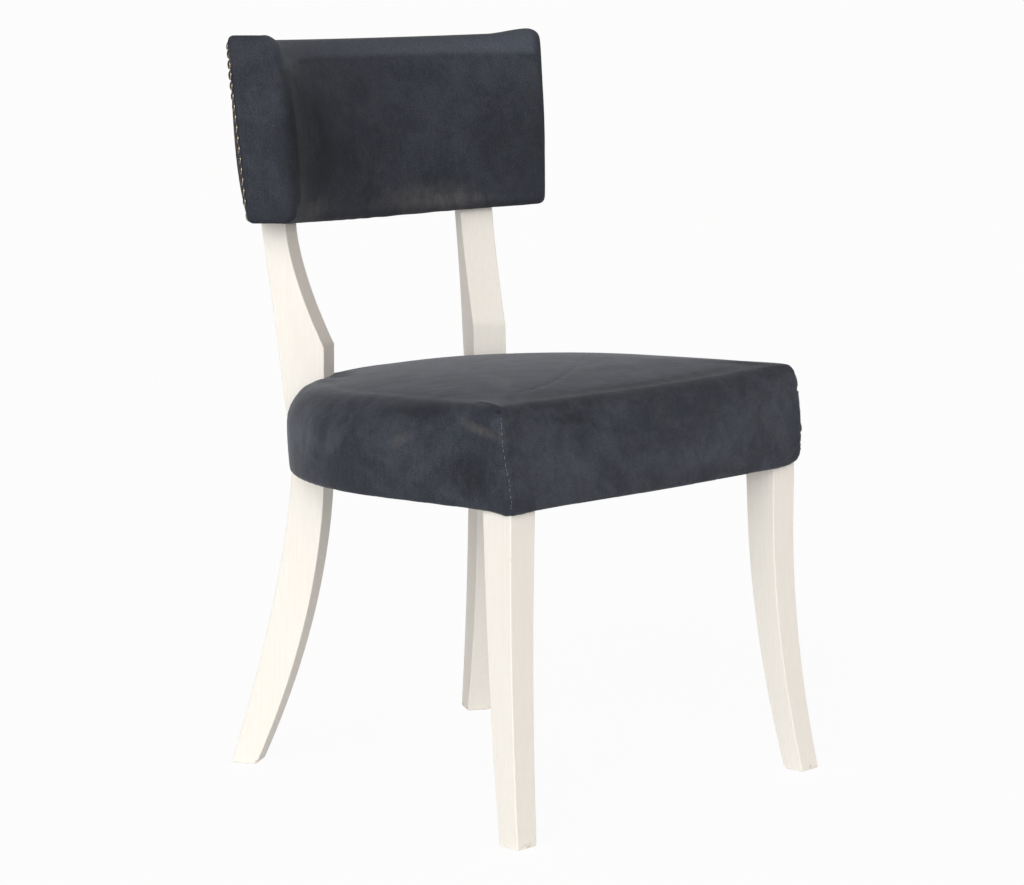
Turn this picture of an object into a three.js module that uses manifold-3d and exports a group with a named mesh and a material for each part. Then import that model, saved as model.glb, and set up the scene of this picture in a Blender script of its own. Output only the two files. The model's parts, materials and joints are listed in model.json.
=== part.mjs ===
// A klismos chair: swept legs and posts of lime-washed wood, a seat with a round back that the
// posts are let into, and a curved padded back panel with a nail-head trim round its outside face.
// Millimetres, +Z up, the chair faces -Y. Inside the file the round back of the seat has its
// centre at x = 0, y = 0; the finished group is moved so that its box stands on its own centre.
import * as THREE from "three";
import { mergeVertices } from "three/addons/utils/BufferGeometryUtils.js";
import Module from "manifold-3d";

const wasm = await Module();
wasm.setup();

// Clearances
const gap = 0.3; // between two pieces that touch
const overrun = 25; // how far a cutting body runs past what it cuts

// Seat plan
const seatRadius = 271.5; // round back
const seatFlankDraw = 28.5; // front corners, nearer the middle than the widest place
const seatFrontDraw = 48.5; // front corners, nearer the centre than the round back
const seatBow = 8; // how far the front edge stands out in its middle

// Seat frame
const railBottom = 368;
const railHeight = 64;
const railThickness = 24;
const railInset = 13; // outer faces of the rails, inside the upholstered outline
const deckThickness = 9;
const tenonThickness = 9;
const tenonHeight = 30;
const tenonLength = 14;
const tenonRise = 44; // middle of the tenons above the bottom of the rails

// Seat upholstery
const coverThickness = 1.6;
const seatEdgeFront = 481; // height of the front edge of the seat
const seatEdgeRear = 468; // height of the edge at the rear
const seatCrown = 20; // rise of the middle above the edge
const rollFront = 14; // radius of the top edge at the front
const rollCorner = 6; // at the front corners
const rollRear = 46; // and at the sides and rear
const frontBatter = 12; // how far the front band leans back on its way up
const bandBulge = 3;
const hemWidth = 16; // cover turned under the rails
const dustCoverThickness = 1;

// Front legs
const legWidth = 38.5; // under the seat
const legDepth = 43;
const legFlankInset = 4; // outer faces, inside the corner of the seat
const legFrontInset = 7; // front faces, behind the corner of the seat
const legFootWidth = 30;
const legFootDepth = 28;
const legStraightFrom = 300; // height where the sweep starts
const legKick = 28.5; // sweep of the front face to the front at the floor
const legSplay = 18; // sweep of the outer face outwards at the floor
const legDress = 6; // wood taken off the front face at the top, for the padding
const legEase = 1.5; // eased edges
const footChamfer = 3;

// Rear posts, each one piece from floor to back panel, turned towards the middle of the seat
const postTurn = THREE.MathUtils.degToRad(30);
const postInset = 42.25; // middle of the front face at the knee, inside the round back
const postBearing = THREE.MathUtils.degToRad(35.77); // from the middle of the rear, about the centre
const postWidth = 41;
const postFootWidth = 31;
const postFootDepth = 31.5; // front to rear at the floor
const postSeatDepth = 40; // front to rear where it passes the seat
const postTopDepth = 30; // front to rear inside the back panel
const postKick = 88; // sweep of the foot to the rear
const postSplay = 10; // and sideways
const postDraw = 4; // sideways draw-in at the back panel
const postSetback = 47; // front face at the back panel, behind the knee
const kneeHeight = 505;
const postEase = 1.5;

// Back panel: arcs about an upright axis, leaning outwards on the way up
const panelAxisY = -46; // axis of the arcs, from the seat centre
const panelBottom = 648; // in the middle
const panelHeight = 211;
const panelEndRise = 6; // the ends stand higher than the middle
const panelEndDraw = 6; // the ends lean in on the way up
const panelHalfAngle = THREE.MathUtils.degToRad(45);
const panelLean = 0.105; // outward travel for each unit of height
const panelPostClearance = 0.94; // from the line of the bent shell to the flat face of a post
const padStand = 21; // inside face in front of the posts, at the edges
const padCrown = 11; // and how much more in the middle
const rearStand = 35; // outside face behind the front faces of the posts
const rearCrown = 5;
const boardThickness = 2.4; // outside cover on its backing card
const panelRollTop = 16; // radius of the inside edge at the top
const panelRollBottom = 12;
const panelRearRoll = 7; // radius of the outside edges
const panelFold = 13; // radius of the upright folds at the ends
const panelCornerTop = 14; // corner radius of the end faces seen from the front
const panelCornerBottom = 8;

// Back panel frame
const shellThickness = 9; // bent plywood on the front of the posts
const battenWidth = 26; // upright ends
const backRailHeight = 24; // top and bottom rails

// Nail-head trim
const nailPitch = 12;
const nailHeight = 2.1;
const trimWidth = 8;
const trimThickness = 0.8;
const trimTilt = THREE.MathUtils.degToRad(12); // from the outside face round towards the edge

// Fasteners
const blockThickness = 25; // corner blocks
const blockRise = 1.5; // corner blocks above the bottom of the rails
const blockReachFront = 66; // diagonal face of a front block, from the corner of the leg
const blockDepthRear = 24; // rear block in front of the post
const blockSpanRear = 150;
const boltDiameter = 6;
const boltHead = 11;
const boltHeadHeight = 4;
const boltGrip = 26; // length in the leg or post
const washerDiameter = 17;
const washerThickness = 1.5;
const screwDiameter = 4;
const screwHead = 8;
const screwHeadHeight = 2.6;
const screwLength = 28;
const screwHeightShares = [0.24, 0.74]; // along the height of the panel

// Levels, places and lengths that follow
const seatCornerX = seatRadius - seatFlankDraw;
const seatCornerY = seatRadius - seatFrontDraw;
const legOuterX = seatCornerX - legFlankInset;
const legFrontY = seatCornerY - legFrontInset;
const postX = (seatRadius - postInset) * Math.sin(postBearing);
const postY = (seatRadius - postInset) * Math.cos(postBearing);
const railTop = railBottom + railHeight;
const coverBottom = railBottom - gap - coverThickness;
const deckTop = railTop + gap + deckThickness;
const panelTop = panelBottom + panelHeight;
const panelMiddle = panelBottom + panelHeight / 2;
const postTop = panelTop - coverThickness - gap - backRailHeight - gap;
const boltHeight = railBottom + blockRise + blockThickness / 2;

// How sharply the sweeps set in, as exponents
const legCurve = 1.9;
const postCurve = 1.9;
const postRearCurve = 1.5;
const neckCurve = 1.5;
const neckRearCurve = 1.15;

// Counts
const arcSteps = 22;
const sideSteps = 4;
const frontSteps = 6;
const sweepSteps = 9;
const rollSteps = 3;
const panelSteps = 16;
const boreSides = 8;
const boltSides = 6;

const sides = [
  { name: "left", sign: -1 },
  { name: "right", sign: 1 },
];

// Turned so that the faces point out, whatever the order of the rings
function outward(positions, index) {
  let volume = 0;
  const a = new THREE.Vector3();
  const b = new THREE.Vector3();
  const c = new THREE.Vector3();
  for (let i = 0; i < index.length; i += 3) {
    a.fromArray(positions, 3 * index[i]);
    b.fromArray(positions, 3 * index[i + 1]);
    c.fromArray(positions, 3 * index[i + 2]);
    volume += a.dot(b.cross(c));
  }
  return volume < 0 ? index.slice().reverse() : index;
}

function solidOf(geometry) {
  const bare = geometry.clone();
  bare.deleteAttribute("normal");
  bare.deleteAttribute("uv");
  const merged = mergeVertices(bare);
  return new wasm.Manifold(
    new wasm.Mesh({
      numProp: 3,
      vertProperties: merged.attributes.position.array,
      triVerts: new Uint32Array(merged.index.array),
    }),
  );
}

// A solid through rings of points, each ring closed by a fan about its middle
function loft(rings, apex) {
  const count = rings[0].length;
  const positions = [];
  const index = [];
  rings.forEach((ring) => ring.forEach((p) => positions.push(p.x, p.y, p.z)));
  for (let k = 0; k + 1 < rings.length; k++) {
    for (let i = 0; i < count; i++) {
      const j = (i + 1) % count;
      const low = k * count;
      const high = low + count;
      index.push(low + i, low + j, high + j, low + i, high + j, high + i);
    }
  }
  const middleOf = (ring) =>
    ring.reduce((sum, p) => sum.add(p), new THREE.Vector3()).divideScalar(count);
  const first = middleOf(rings[0]);
  const last = apex ?? middleOf(rings.at(-1));
  positions.push(first.x, first.y, first.z, last.x, last.y, last.z);
  const start = rings.length * count;
  const top = start - count;
  for (let i = 0; i < count; i++) {
    const j = (i + 1) % count;
    index.push(start, j, i, start + 1, top + i, top + j);
  }
  const geometry = new THREE.BufferGeometry();
  geometry.setAttribute("position", new THREE.Float32BufferAttribute(positions, 3));
  geometry.setIndex(outward(positions, index));
  return solidOf(geometry);
}

// An upright plate over a plan outline
function plate(points, from, to) {
  const shape = new THREE.Shape(points.map((p) => new THREE.Vector2(p.x, p.y)));
  const geometry = new THREE.ExtrudeGeometry(shape, { depth: to - from, bevelEnabled: false });
  return solidOf(geometry.translate(0, 0, from));
}

// A round or many-sided pin from one point along a direction
function pin(start, direction, length, diameter, segments = boreSides, endDiameter = diameter) {
  const geometry = new THREE.CylinderGeometry(endDiameter / 2, diameter / 2, length, segments);
  geometry.translate(0, length / 2, 0);
  const up = new THREE.Vector3(0, 1, 0);
  geometry.applyQuaternion(new THREE.Quaternion().setFromUnitVectors(up, direction));
  return solidOf(geometry.translate(start.x, start.y, start.z));
}

const chair = new THREE.Group();

function addPiece(name, solid, finish) {
  const made = solid.getMesh();
  const positions = [];
  for (let i = 0; i < made.numVert; i++) {
    const from = i * made.numProp;
    positions.push(...made.vertProperties.subarray(from, from + 3));
  }
  const geometry = new THREE.BufferGeometry();
  geometry.setAttribute("position", new THREE.Float32BufferAttribute(positions, 3));
  geometry.setIndex([...made.triVerts]);
  geometry.computeVertexNormals();
  const piece = new THREE.Mesh(geometry, new THREE.MeshStandardMaterial(finish));
  piece.name = name;
  chair.add(piece);
}

const paintedWood = { color: 0xf0ebe2, roughness: 0.62, metalness: 0 };
const velvet = { color: 0x3d444e, roughness: 0.95, metalness: 0 };
const beech = { color: 0xc9a878, roughness: 0.7, metalness: 0 };
const plywood = { color: 0xd2b385, roughness: 0.75, metalness: 0 };
const foam = { color: 0xe9e0c4, roughness: 1, metalness: 0 };
const cambric = { color: 0x1c1c1e, roughness: 1, metalness: 0 };
const antiqueBrass = { color: 0x8c7350, roughness: 0.38, metalness: 1 };
const zincSteel = { color: 0xa9adb1, roughness: 0.4, metalness: 1 };

const mix = THREE.MathUtils.lerp;
const smooth = (value, from, to) => THREE.MathUtils.smoothstep(value, from, to);

// Seat outline from the middle of the rear round by the left side, with the way that an inset
// moves each point; a corner moves along its mitre
function halfOutline() {
  const reach = Math.hypot(seatCornerX, seatCornerY);
  const corner = Math.atan2(-seatCornerY, -seatCornerX) + 2 * Math.PI;
  const tangent = corner - Math.acos(seatRadius / reach);
  const points = [];
  for (let i = 0; i <= arcSteps / 2; i++) {
    const angle = mix(Math.PI / 2, tangent, i / (arcSteps / 2));
    const normal = new THREE.Vector2(Math.cos(angle), Math.sin(angle));
    points.push({ at: normal.clone().multiplyScalar(seatRadius), normal });
  }
  const sideNormal = points.at(-1).normal;
  const sideStart = points.at(-1).at;
  const sideEnd = new THREE.Vector2(-seatCornerX, -seatCornerY);
  for (let i = 1; i < sideSteps; i++) {
    points.push({ at: sideStart.clone().lerp(sideEnd, i / sideSteps), normal: sideNormal });
  }
  for (let i = 0; i <= frontSteps / 2; i++) {
    const x = mix(-seatCornerX, 0, i / (frontSteps / 2));
    const share = x / seatCornerX;
    const slope = (2 * seatBow * share) / seatCornerX;
    const normal = new THREE.Vector2(slope, -1).normalize();
    const at = new THREE.Vector2(x, -seatCornerY - seatBow * (1 - share * share));
    if (i === 0) {
      const mitre = normal.clone().add(sideNormal);
      normal.copy(mitre.divideScalar(1 + normal.dot(sideNormal)));
    }
    points.push({ at, normal, front: true });
  }
  return points;
}

function fullOutline() {
  const half = halfOutline();
  const mirrored = half.slice(1, -1).reverse();
  const flip = (v) => new THREE.Vector2(-v.x, v.y);
  return [...half, ...mirrored.map((p) => ({ ...p, at: flip(p.at), normal: flip(p.normal) }))];
}

const outline = fullOutline();
const insetOutline = (inset) => outline.map((p) => p.at.clone().addScaledVector(p.normal, -inset));

// Height of the top edge and radius of its roll at a place on the outline
const frontness = (p) => (p.front ? 1 : smooth(-p.at.y, 0, seatCornerY));
const edgeHeight = (p) => mix(seatEdgeRear, seatEdgeFront, smooth(-p.at.y, -seatRadius, seatCornerY));
const cornerness = (p) => Math.pow(Math.abs(p.at.x) / seatCornerX, 6);
function edgeRoll(p) {
  const roll = mix(rollRear, rollFront, frontness(p));
  return p.front ? mix(roll, rollCorner, cornerness(p)) : roll;
}

// The upholstered seat as a solid, drawn in by an offset on every side
const bandShares = [0, 0.3, 0.65, 1];
const crownShares = [0.86, 0.6, 0.3];
function cushion(offset, lowest) {
  const ringAt = (heightOf, insetOf) =>
    outline.map((p) => {
      const height = heightOf(p);
      const rise = (height - coverBottom) / (edgeHeight(p) - coverBottom);
      const inset = insetOf(p) + offset - bandBulge * Math.sin(Math.PI * rise);
      const at = p.at.clone().addScaledVector(p.normal, -inset);
      const batter = p.front ? frontBatter * rise : 0;
      return new THREE.Vector3(at.x, at.y + batter, height);
    });
  const rings = bandShares.map((share) =>
    ringAt((p) => mix(lowest, edgeHeight(p) - edgeRoll(p) - offset, share), () => 0),
  );
  for (let i = 1; i <= rollSteps; i++) {
    const angle = (i / rollSteps) * (Math.PI / 2);
    rings.push(
      ringAt(
        (p) => edgeHeight(p) - edgeRoll(p) * (1 - Math.sin(angle)) - offset,
        (p) => edgeRoll(p) * (1 - Math.cos(angle)),
      ),
    );
  }
  const edge = rings.at(-1);
  const middle = new THREE.Vector3(0, 0, mix(seatEdgeRear, seatEdgeFront, 0.5) - offset);
  for (const share of crownShares) {
    rings.push(
      edge.map((p) => {
        const at = middle.clone().lerp(p, share);
        return at.setZ(at.z + seatCrown * (1 - share * share));
      }),
    );
  }
  return loft(rings, middle.clone().setZ(middle.z + seatCrown));
}

// Inside of the seat cover: the cushion a thickness smaller, open under the seat inside the hem
function coverInside() {
  const opening = plate(insetOutline(hemWidth), coverBottom - overrun, railBottom + overrun);
  return cushion(coverThickness, coverBottom + coverThickness).add(opening);
}

// Front legs: straight under the seat, swept forwards and outwards towards the foot
function legSection(side, height, grow) {
  const sweep = Math.pow(Math.max(0, 1 - height / legStraightFrom), legCurve);
  const taper = Math.min(1, height / railBottom);
  const dress = legDress * smooth(height, railBottom, railTop);
  const width = mix(legFootWidth, legWidth, taper);
  const depth = mix(legFootDepth, legDepth, taper);
  const outer = legOuterX + legSplay * sweep + grow;
  const inner = outer - width - 2 * grow;
  const front = -legFrontY - legKick * sweep + dress - grow;
  const rear = -legFrontY - legKick * sweep + depth + grow;
  const ease = legEase;
  const corners = [
    [inner + ease, front],
    [outer - ease, front],
    [outer, front + ease],
    [outer, rear - ease],
    [outer - ease, rear],
    [inner + ease, rear],
    [inner, rear - ease],
    [inner, front + ease],
  ];
  return corners.map(([x, y]) => new THREE.Vector3(side.sign * x, y, height));
}
function towardsMiddle(ring, amount) {
  const middle = ring.reduce((sum, p) => sum.add(p), new THREE.Vector3());
  middle.divideScalar(ring.length);
  return ring.map((p) => {
    const away = p.clone().sub(middle);
    return p.clone().addScaledVector(away.normalize(), -amount);
  });
}

function frontLeg(side, grow = 0) {
  const foot = legSection(side, 0, grow);
  const rings = [towardsMiddle(foot, footChamfer), legSection(side, footChamfer, grow)];
  for (let i = 1; i <= sweepSteps; i++) {
    rings.push(legSection(side, mix(footChamfer, legStraightFrom, i / sweepSteps), grow));
  }
  rings.push(legSection(side, railBottom, grow));
  rings.push(legSection(side, (railBottom + railTop) / 2, grow));
  rings.push(legSection(side, railTop + grow, grow));
  return loft(rings);
}

// Rear posts: in their own plane, u runs to the rear and w outwards
function postPlace(side, u, w, height) {
  const sine = Math.sin(postTurn);
  const cosine = Math.cos(postTurn);
  return new THREE.Vector3(
    side.sign * (postX + u * sine + w * cosine),
    postY + u * cosine - w * sine,
    height,
  );
}
function postFront(height) {
  if (height < railBottom) return postKick * Math.pow(1 - height / railBottom, postCurve);
  if (height <= kneeHeight) return 0;
  const share = Math.min(1, (height - kneeHeight) / (panelBottom - kneeHeight));
  const lean = panelLean * Math.max(0, height - panelBottom);
  return postSetback * (1 - Math.pow(1 - share, neckCurve)) + lean;
}
function postRear(height) {
  if (height < railBottom) {
    const kick = postKick + postFootDepth - postSeatDepth;
    return postSeatDepth + kick * Math.pow(1 - height / railBottom, postRearCurve);
  }
  const share = Math.min(1, (height - railBottom) / (panelBottom - railBottom));
  const travel = postSetback + postTopDepth - postSeatDepth;
  const lean = panelLean * Math.max(0, height - panelBottom);
  return postSeatDepth + travel * Math.pow(share, neckRearCurve) + lean;
}
function postMiddle(height) {
  if (height < kneeHeight) return postSplay * (1 - height / kneeHeight);
  const share = Math.min(1, (height - kneeHeight) / (panelBottom - kneeHeight));
  return -postDraw * Math.pow(share, neckCurve);
}
function postSection(side, height, grow, rearward = 0) {
  const half = mix(postFootWidth, postWidth, Math.min(1, height / railBottom)) / 2 + grow;
  const middle = postMiddle(height);
  const front = postFront(height) - grow;
  const rear = postRear(height) + grow + rearward;
  const ease = postEase;
  const corners = [
    [front, middle - half + ease],
    [front, middle + half - ease],
    [front + ease, middle + half],
    [rear - ease, middle + half],
    [rear, middle + half - ease],
    [rear, middle - half + ease],
    [rear - ease, middle - half],
    [front + ease, middle - half],
  ];
  return corners.map(([u, w]) => postPlace(side, u, w, height));
}
function postRings(side, heights, grow, rearward) {
  return heights.map((height) => postSection(side, height, grow, rearward));
}
const stepsBetween = (from, to, steps) =>
  Array.from({ length: steps }, (_, i) => mix(from, to, (i + 1) / steps));
function rearPost(side) {
  const lower = stepsBetween(footChamfer, railBottom, sweepSteps);
  const upper = stepsBetween(kneeHeight, panelBottom, sweepSteps);
  const rings = postRings(side, [footChamfer, ...lower, kneeHeight, ...upper, postTop], 0);
  return loft([towardsMiddle(postSection(side, 0, 0), footChamfer), ...rings]);
}
// The room that a post takes where it passes the seat, open to the rear
function postNotch(side, grow) {
  const heights = [railBottom - overrun, railBottom, kneeHeight, kneeHeight + overrun];
  return loft(postRings(side, heights, grow, overrun));
}
// The room that a post takes inside the back panel, open to the rear
function postSocket(side, grow) {
  const heights = [panelBottom - overrun, panelBottom, postTop + grow];
  return loft(postRings(side, heights, grow, overrun));
}

// Tenons, as boxes that run from inside a rail into a leg or post
function tenonBox(centre, direction, grow) {
  const length = 2 * (tenonLength + grow);
  const size = [length, tenonThickness + 2 * grow, tenonHeight + 2 * grow];
  const geometry = new THREE.BoxGeometry(...size);
  geometry.rotateZ(Math.atan2(direction.y, direction.x));
  return solidOf(geometry.translate(centre.x, centre.y, railBottom + tenonRise));
}

// Where each rail meets a leg or a post: the middle of the joint and the way into the wood
const railMiddle = railInset + railThickness / 2;
function joints(side) {
  const out = new THREE.Vector3(side.sign * Math.cos(postTurn), -Math.sin(postTurn), 0);
  const half = postWidth / 2;
  const level = railBottom + tenonRise;
  const radius = seatRadius - railMiddle;
  const onFace = (w) => {
    const base = postPlace(side, 0, w, level);
    const rearward = new THREE.Vector3(side.sign * Math.sin(postTurn), Math.cos(postTurn), 0);
    const along = base.x * rearward.x + base.y * rearward.y;
    const off = base.x * base.x + base.y * base.y - radius * radius;
    const u = -along + Math.sqrt(along * along - off);
    return postPlace(side, u, w, level);
  };
  const drift = postMiddle(level);
  const rearAtLeg = -legFrontY + legDepth;
  const innerAtLeg = side.sign * (legOuterX - legWidth);
  const frontLine = -seatCornerY + railMiddle - seatBow * (1 - (innerAtLeg / seatCornerX) ** 2);
  const sideLine = side.sign * (legOuterX - legWidth / 2 + tenonThickness / 3);
  return {
    frontRail: {
      at: new THREE.Vector3(innerAtLeg, frontLine, level),
      into: new THREE.Vector3(side.sign, 0, 0),
    },
    sideRailFront: {
      at: new THREE.Vector3(sideLine, rearAtLeg, level),
      into: new THREE.Vector3(0, -1, 0),
    },
    sideRailRear: { at: onFace(drift + half), into: out.clone().negate() },
    rearRail: { at: onFace(drift - half), into: out },
  };
}

const tenon = (joint, grow = 0) => tenonBox(joint.at, joint.into, grow);

// The ring of rails before it is parted by the legs and posts
function railRing() {
  const outer = plate(insetOutline(railInset), railBottom, railTop);
  const inside = insetOutline(railInset + railThickness);
  return outer.subtract(plate(inside, railBottom - overrun, railTop + overrun));
}

const point = (x, y) => new THREE.Vector2(x, y);
function partRails() {
  let ring = railRing();
  for (const side of sides) {
    ring = ring.subtract(frontLeg(side, gap)).subtract(postNotch(side, gap));
  }
  const far = 2 * seatRadius;
  const low = railBottom - overrun;
  const high = railTop + overrun;
  const legBack = -legFrontY + legDepth;
  const aheadOf = (halfWidth) =>
    plate([point(-halfWidth, -far), point(halfWidth, -far), point(halfWidth, legBack),
      point(-halfWidth, legBack)], low, high);
  const behindPosts = sides.map((side) => {
    const line = [-far, far].map((u) => postPlace(side, u, postMiddle(railBottom), 0));
    return { near: point(line[0].x, line[0].y), far: point(line[1].x, line[1].y) };
  });
  const crossing = point(0, postY - postX / Math.tan(postTurn));
  const rearWedge = plate([crossing, behindPosts[1].far, behindPosts[0].far], low, high);
  const halves = sides.map((side) => {
    const edge = side.sign * far;
    return plate([point(0, -far), point(edge, -far), point(edge, far), point(0, far)], low, high);
  });
  return {
    front: ring.intersect(aheadOf(legOuterX - legWidth - gap)),
    rear: ring.intersect(rearWedge),
    sides: halves.map((half) => ring.intersect(half).subtract(aheadOf(far)).subtract(rearWedge)),
  };
}

// Corner blocks, each against two rails and round the corner of its leg or post
const blockLow = railBottom + blockRise;
const blockHigh = blockLow + blockThickness;
const insideRails = plate(insetOutline(railInset + railThickness + gap), blockLow, blockHigh);

function frontBlock(side) {
  const legCorner = point(side.sign * (legOuterX - legWidth), -legFrontY + legDepth);
  const reach = seatCornerX + seatCornerY;
  const diagonal = Math.abs(legCorner.x) - legCorner.y - blockReachFront;
  const corners = [
    point(side.sign * reach, -reach),
    point(side.sign * (diagonal - reach), -reach),
    point(side.sign * reach, reach - diagonal),
  ];
  return plate(corners, blockLow, blockHigh).intersect(insideRails);
}

function rearBlock(side) {
  const half = blockSpanRear / 2;
  const corners = [
    postPlace(side, -blockDepthRear, -half, 0),
    postPlace(side, -blockDepthRear, half, 0),
    postPlace(side, overrun, half, 0),
    postPlace(side, overrun, -half, 0),
  ];
  return plate(corners, blockLow, blockHigh).intersect(insideRails);
}

// A bolt through each corner block: where its head sits and which way it runs
function frontBoltLine(side) {
  const away = blockReachFront / 2;
  const at = new THREE.Vector3(
    side.sign * (legOuterX - legWidth - away),
    -legFrontY + legDepth + away,
    boltHeight,
  );
  const into = new THREE.Vector3(side.sign, -1, 0).normalize();
  return { at, into, grip: away * Math.SQRT2 + boltGrip };
}
function rearBoltLine(side) {
  const at = postPlace(side, -blockDepthRear, postMiddle(boltHeight), boltHeight);
  const into = new THREE.Vector3(side.sign * Math.sin(postTurn), Math.cos(postTurn), 0);
  return { at, into, grip: blockDepthRear + boltGrip };
}
function bolt(line) {
  const seat = gap + washerThickness + gap;
  const headSeat = line.at.clone().addScaledVector(line.into, -seat);
  const head = pin(headSeat, line.into.clone().negate(), boltHeadHeight, boltHead, boltSides);
  const root = boltHeadHeight / 2;
  const insideHead = headSeat.clone().addScaledVector(line.into, -root);
  return head.add(pin(insideHead, line.into, root + seat + line.grip, boltDiameter));
}
function washer(line) {
  const start = line.at.clone().addScaledVector(line.into, -gap);
  const out = line.into.clone().negate();
  const hole = pin(start.clone().addScaledVector(out, -washerThickness), out,
    3 * washerThickness, boltDiameter + 2 * gap);
  return pin(start, out, washerThickness, washerDiameter, 2 * boltSides).subtract(hole);
}
function boltBore(line) {
  const start = line.at.clone().addScaledVector(line.into, -overrun);
  return pin(start, line.into, overrun + line.grip + gap, boltDiameter + 2 * gap);
}

// Back panel, in arcs about its upright axis, on the front faces of the posts
const postTopFront = postPlace(sides[1], postSetback, -postDraw, panelBottom);
const postReach = Math.hypot(postTopFront.x, postTopFront.y - panelAxisY);
const panelPostRadius = postReach - panelPostClearance;
const postLine = (height) => panelPostRadius + panelLean * (height - panelBottom);
const crownAt = (height) => Math.max(0, 1 - ((height - panelMiddle) / (panelHeight / 2)) ** 2);
const insideLine = (height) => postLine(height) - padStand - padCrown * crownAt(height);
const outsideLine = (height) => postLine(height) + rearStand + rearCrown * crownAt(height);
function arcPoint(radius, angle, height) {
  const share = angle / panelHalfAngle;
  const draw = (panelEndDraw * share * (height - panelBottom)) / (panelHeight * panelPostRadius);
  return new THREE.Vector3(
    radius * Math.sin(angle - draw),
    panelAxisY + radius * Math.cos(angle - draw),
    height + panelEndRise * share * share,
  );
}

const faceShares = [0.2, 0.5, 0.8];
function panelSection(angle, fromEnd, offset) {
  const drawIn = (radius) => {
    const left = Math.max(0, radius - offset);
    return fromEnd >= left ? 0 : left - Math.sqrt(left * left - (left - fromEnd) ** 2);
  };
  const high = panelTop - offset - drawIn(panelCornerTop);
  const low = panelBottom + offset + drawIn(panelCornerBottom);
  const insideAt = (height) => insideLine(height) + offset + drawIn(panelFold);
  const outsideAt = (height) => outsideLine(height) - offset - drawIn(panelRearRoll);
  const points = [];
  const arc = (radius, from, level, isInside, isTop) => {
    const steps = isInside ? rollSteps : rollSteps - 1;
    for (let i = 0; i <= steps; i++) {
      const turn = from - (i / steps) * (Math.PI / 2);
      const rise = isTop ? radius * (Math.sin(turn) - 1) : radius * (Math.sin(turn) + 1);
      const height = level + rise;
      const reach = isInside
        ? insideAt(height) + radius * (1 + Math.cos(turn))
        : outsideAt(height) - radius * (1 - Math.cos(turn));
      points.push(arcPoint(reach, angle, height));
    }
  };
  const face = (lineAt, from, to) =>
    faceShares.forEach((share) => {
      const height = mix(from, to, share);
      points.push(arcPoint(lineAt(height), angle, height));
    });
  const rollTop = panelRollTop - offset;
  const rollBottom = panelRollBottom - offset;
  const rollRearward = panelRearRoll - offset;
  arc(rollBottom, 1.5 * Math.PI, low, true, false);
  face(insideAt, low + rollBottom, high - rollTop);
  arc(rollTop, Math.PI, high, true, true);
  arc(rollRearward, Math.PI / 2, high, false, true);
  face(outsideAt, high - rollRearward, low + rollRearward);
  arc(rollRearward, 0, low, false, false);
  return points;
}

const endShares = [0, 0.12, 0.45, 1];
function panelSolid(offset) {
  const radius = panelPostRadius;
  const nearEnd = endShares.map((share) => share * (panelCornerTop - offset));
  const reach = panelHalfAngle - offset / radius;
  const flat = reach - nearEnd.at(-1) / radius;
  const stations = nearEnd.map((fromEnd) => ({ angle: fromEnd / radius - reach, fromEnd }));
  for (let i = 1; i < panelSteps; i++) {
    stations.push({ angle: mix(-flat, flat, i / panelSteps), fromEnd: panelCornerTop });
  }
  nearEnd.reverse().forEach((fromEnd) => {
    stations.push({ angle: reach - fromEnd / radius, fromEnd });
  });
  return loft(stations.map(({ angle, fromEnd }) => panelSection(angle, fromEnd, offset)));
}

// A block bent about the axis of the panel between two radii, past the panel on every side; all
// such blocks share their stations, so that faces a gap apart stay a gap apart
const blockReach = panelHalfAngle + overrun / panelPostRadius;
const levelShares = [0, 0.2, 0.35, 0.5, 0.65, 0.8, 1];
const blockLevels = [
  panelBottom - overrun,
  ...levelShares.map((share) => mix(panelBottom, panelTop, share)),
  panelTop + overrun,
];
const straightLevels = [blockLevels[0], panelBottom, panelMiddle, panelTop, blockLevels.at(-1)];
function bentBlock(innerAt, outerAt, innerLevels = blockLevels, outerLevels = blockLevels) {
  const rings = [];
  for (let i = 0; i <= panelSteps; i++) {
    const angle = mix(-blockReach, blockReach, i / panelSteps);
    const innerPoints = innerLevels.map((height) => arcPoint(innerAt(height), angle, height));
    const outerPoints = outerLevels.map((height) => arcPoint(outerAt(height), angle, height));
    rings.push([...innerPoints, ...outerPoints.reverse()]);
  }
  return loft(rings);
}
const shellFront = (height) => postLine(height) - gap - shellThickness;
const shellRear = (height) => postLine(height) - gap;
const foamRear = (height) => shellFront(height) - gap;
const boardFront = (height) => outsideLine(height) - boardThickness;
const frameRear = (height) => boardFront(height) - gap;
const pastPanel = (height) => outsideLine(height) + overrun;
const topRailLow = panelTop - coverThickness - gap - backRailHeight;
const bottomRailHigh = panelBottom + coverThickness + gap + backRailHeight;

// A wedge of the panel seen from above
function sector(fromAngle, toAngle, low, high) {
  const far = 2 * panelPostRadius;
  const edges = [fromAngle, toAngle].map((angle) => arcPoint(far, angle, panelBottom));
  return plate([point(0, panelAxisY), ...edges], low, high);
}

const postAngle = (() => {
  const base = postPlace(sides[1], postFront(panelBottom), postMiddle(panelBottom), 0);
  return Math.atan2(base.x, base.y - panelAxisY);
})();
const endAngle = panelHalfAngle - battenWidth / panelPostRadius;

// Screws through the shell into the posts
function screwLines(side) {
  return screwHeightShares.map((share) => {
    const height = mix(panelBottom, panelTop, share);
    const front = postFront(height) - gap - shellThickness;
    const at = postPlace(side, front, postMiddle(height), height);
    const into = new THREE.Vector3(side.sign * Math.sin(postTurn), Math.cos(postTurn), 0);
    return { at, into };
  });
}
function screw(line, grow) {
  const start = line.at.clone().addScaledVector(line.into, -grow);
  const head = pin(start, line.into, screwHeadHeight + grow, screwHead + 2 * grow, boreSides,
    screwDiameter + 2 * grow);
  return head.add(pin(line.at, line.into, screwLength + grow, screwDiameter + 2 * grow));
}

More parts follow.
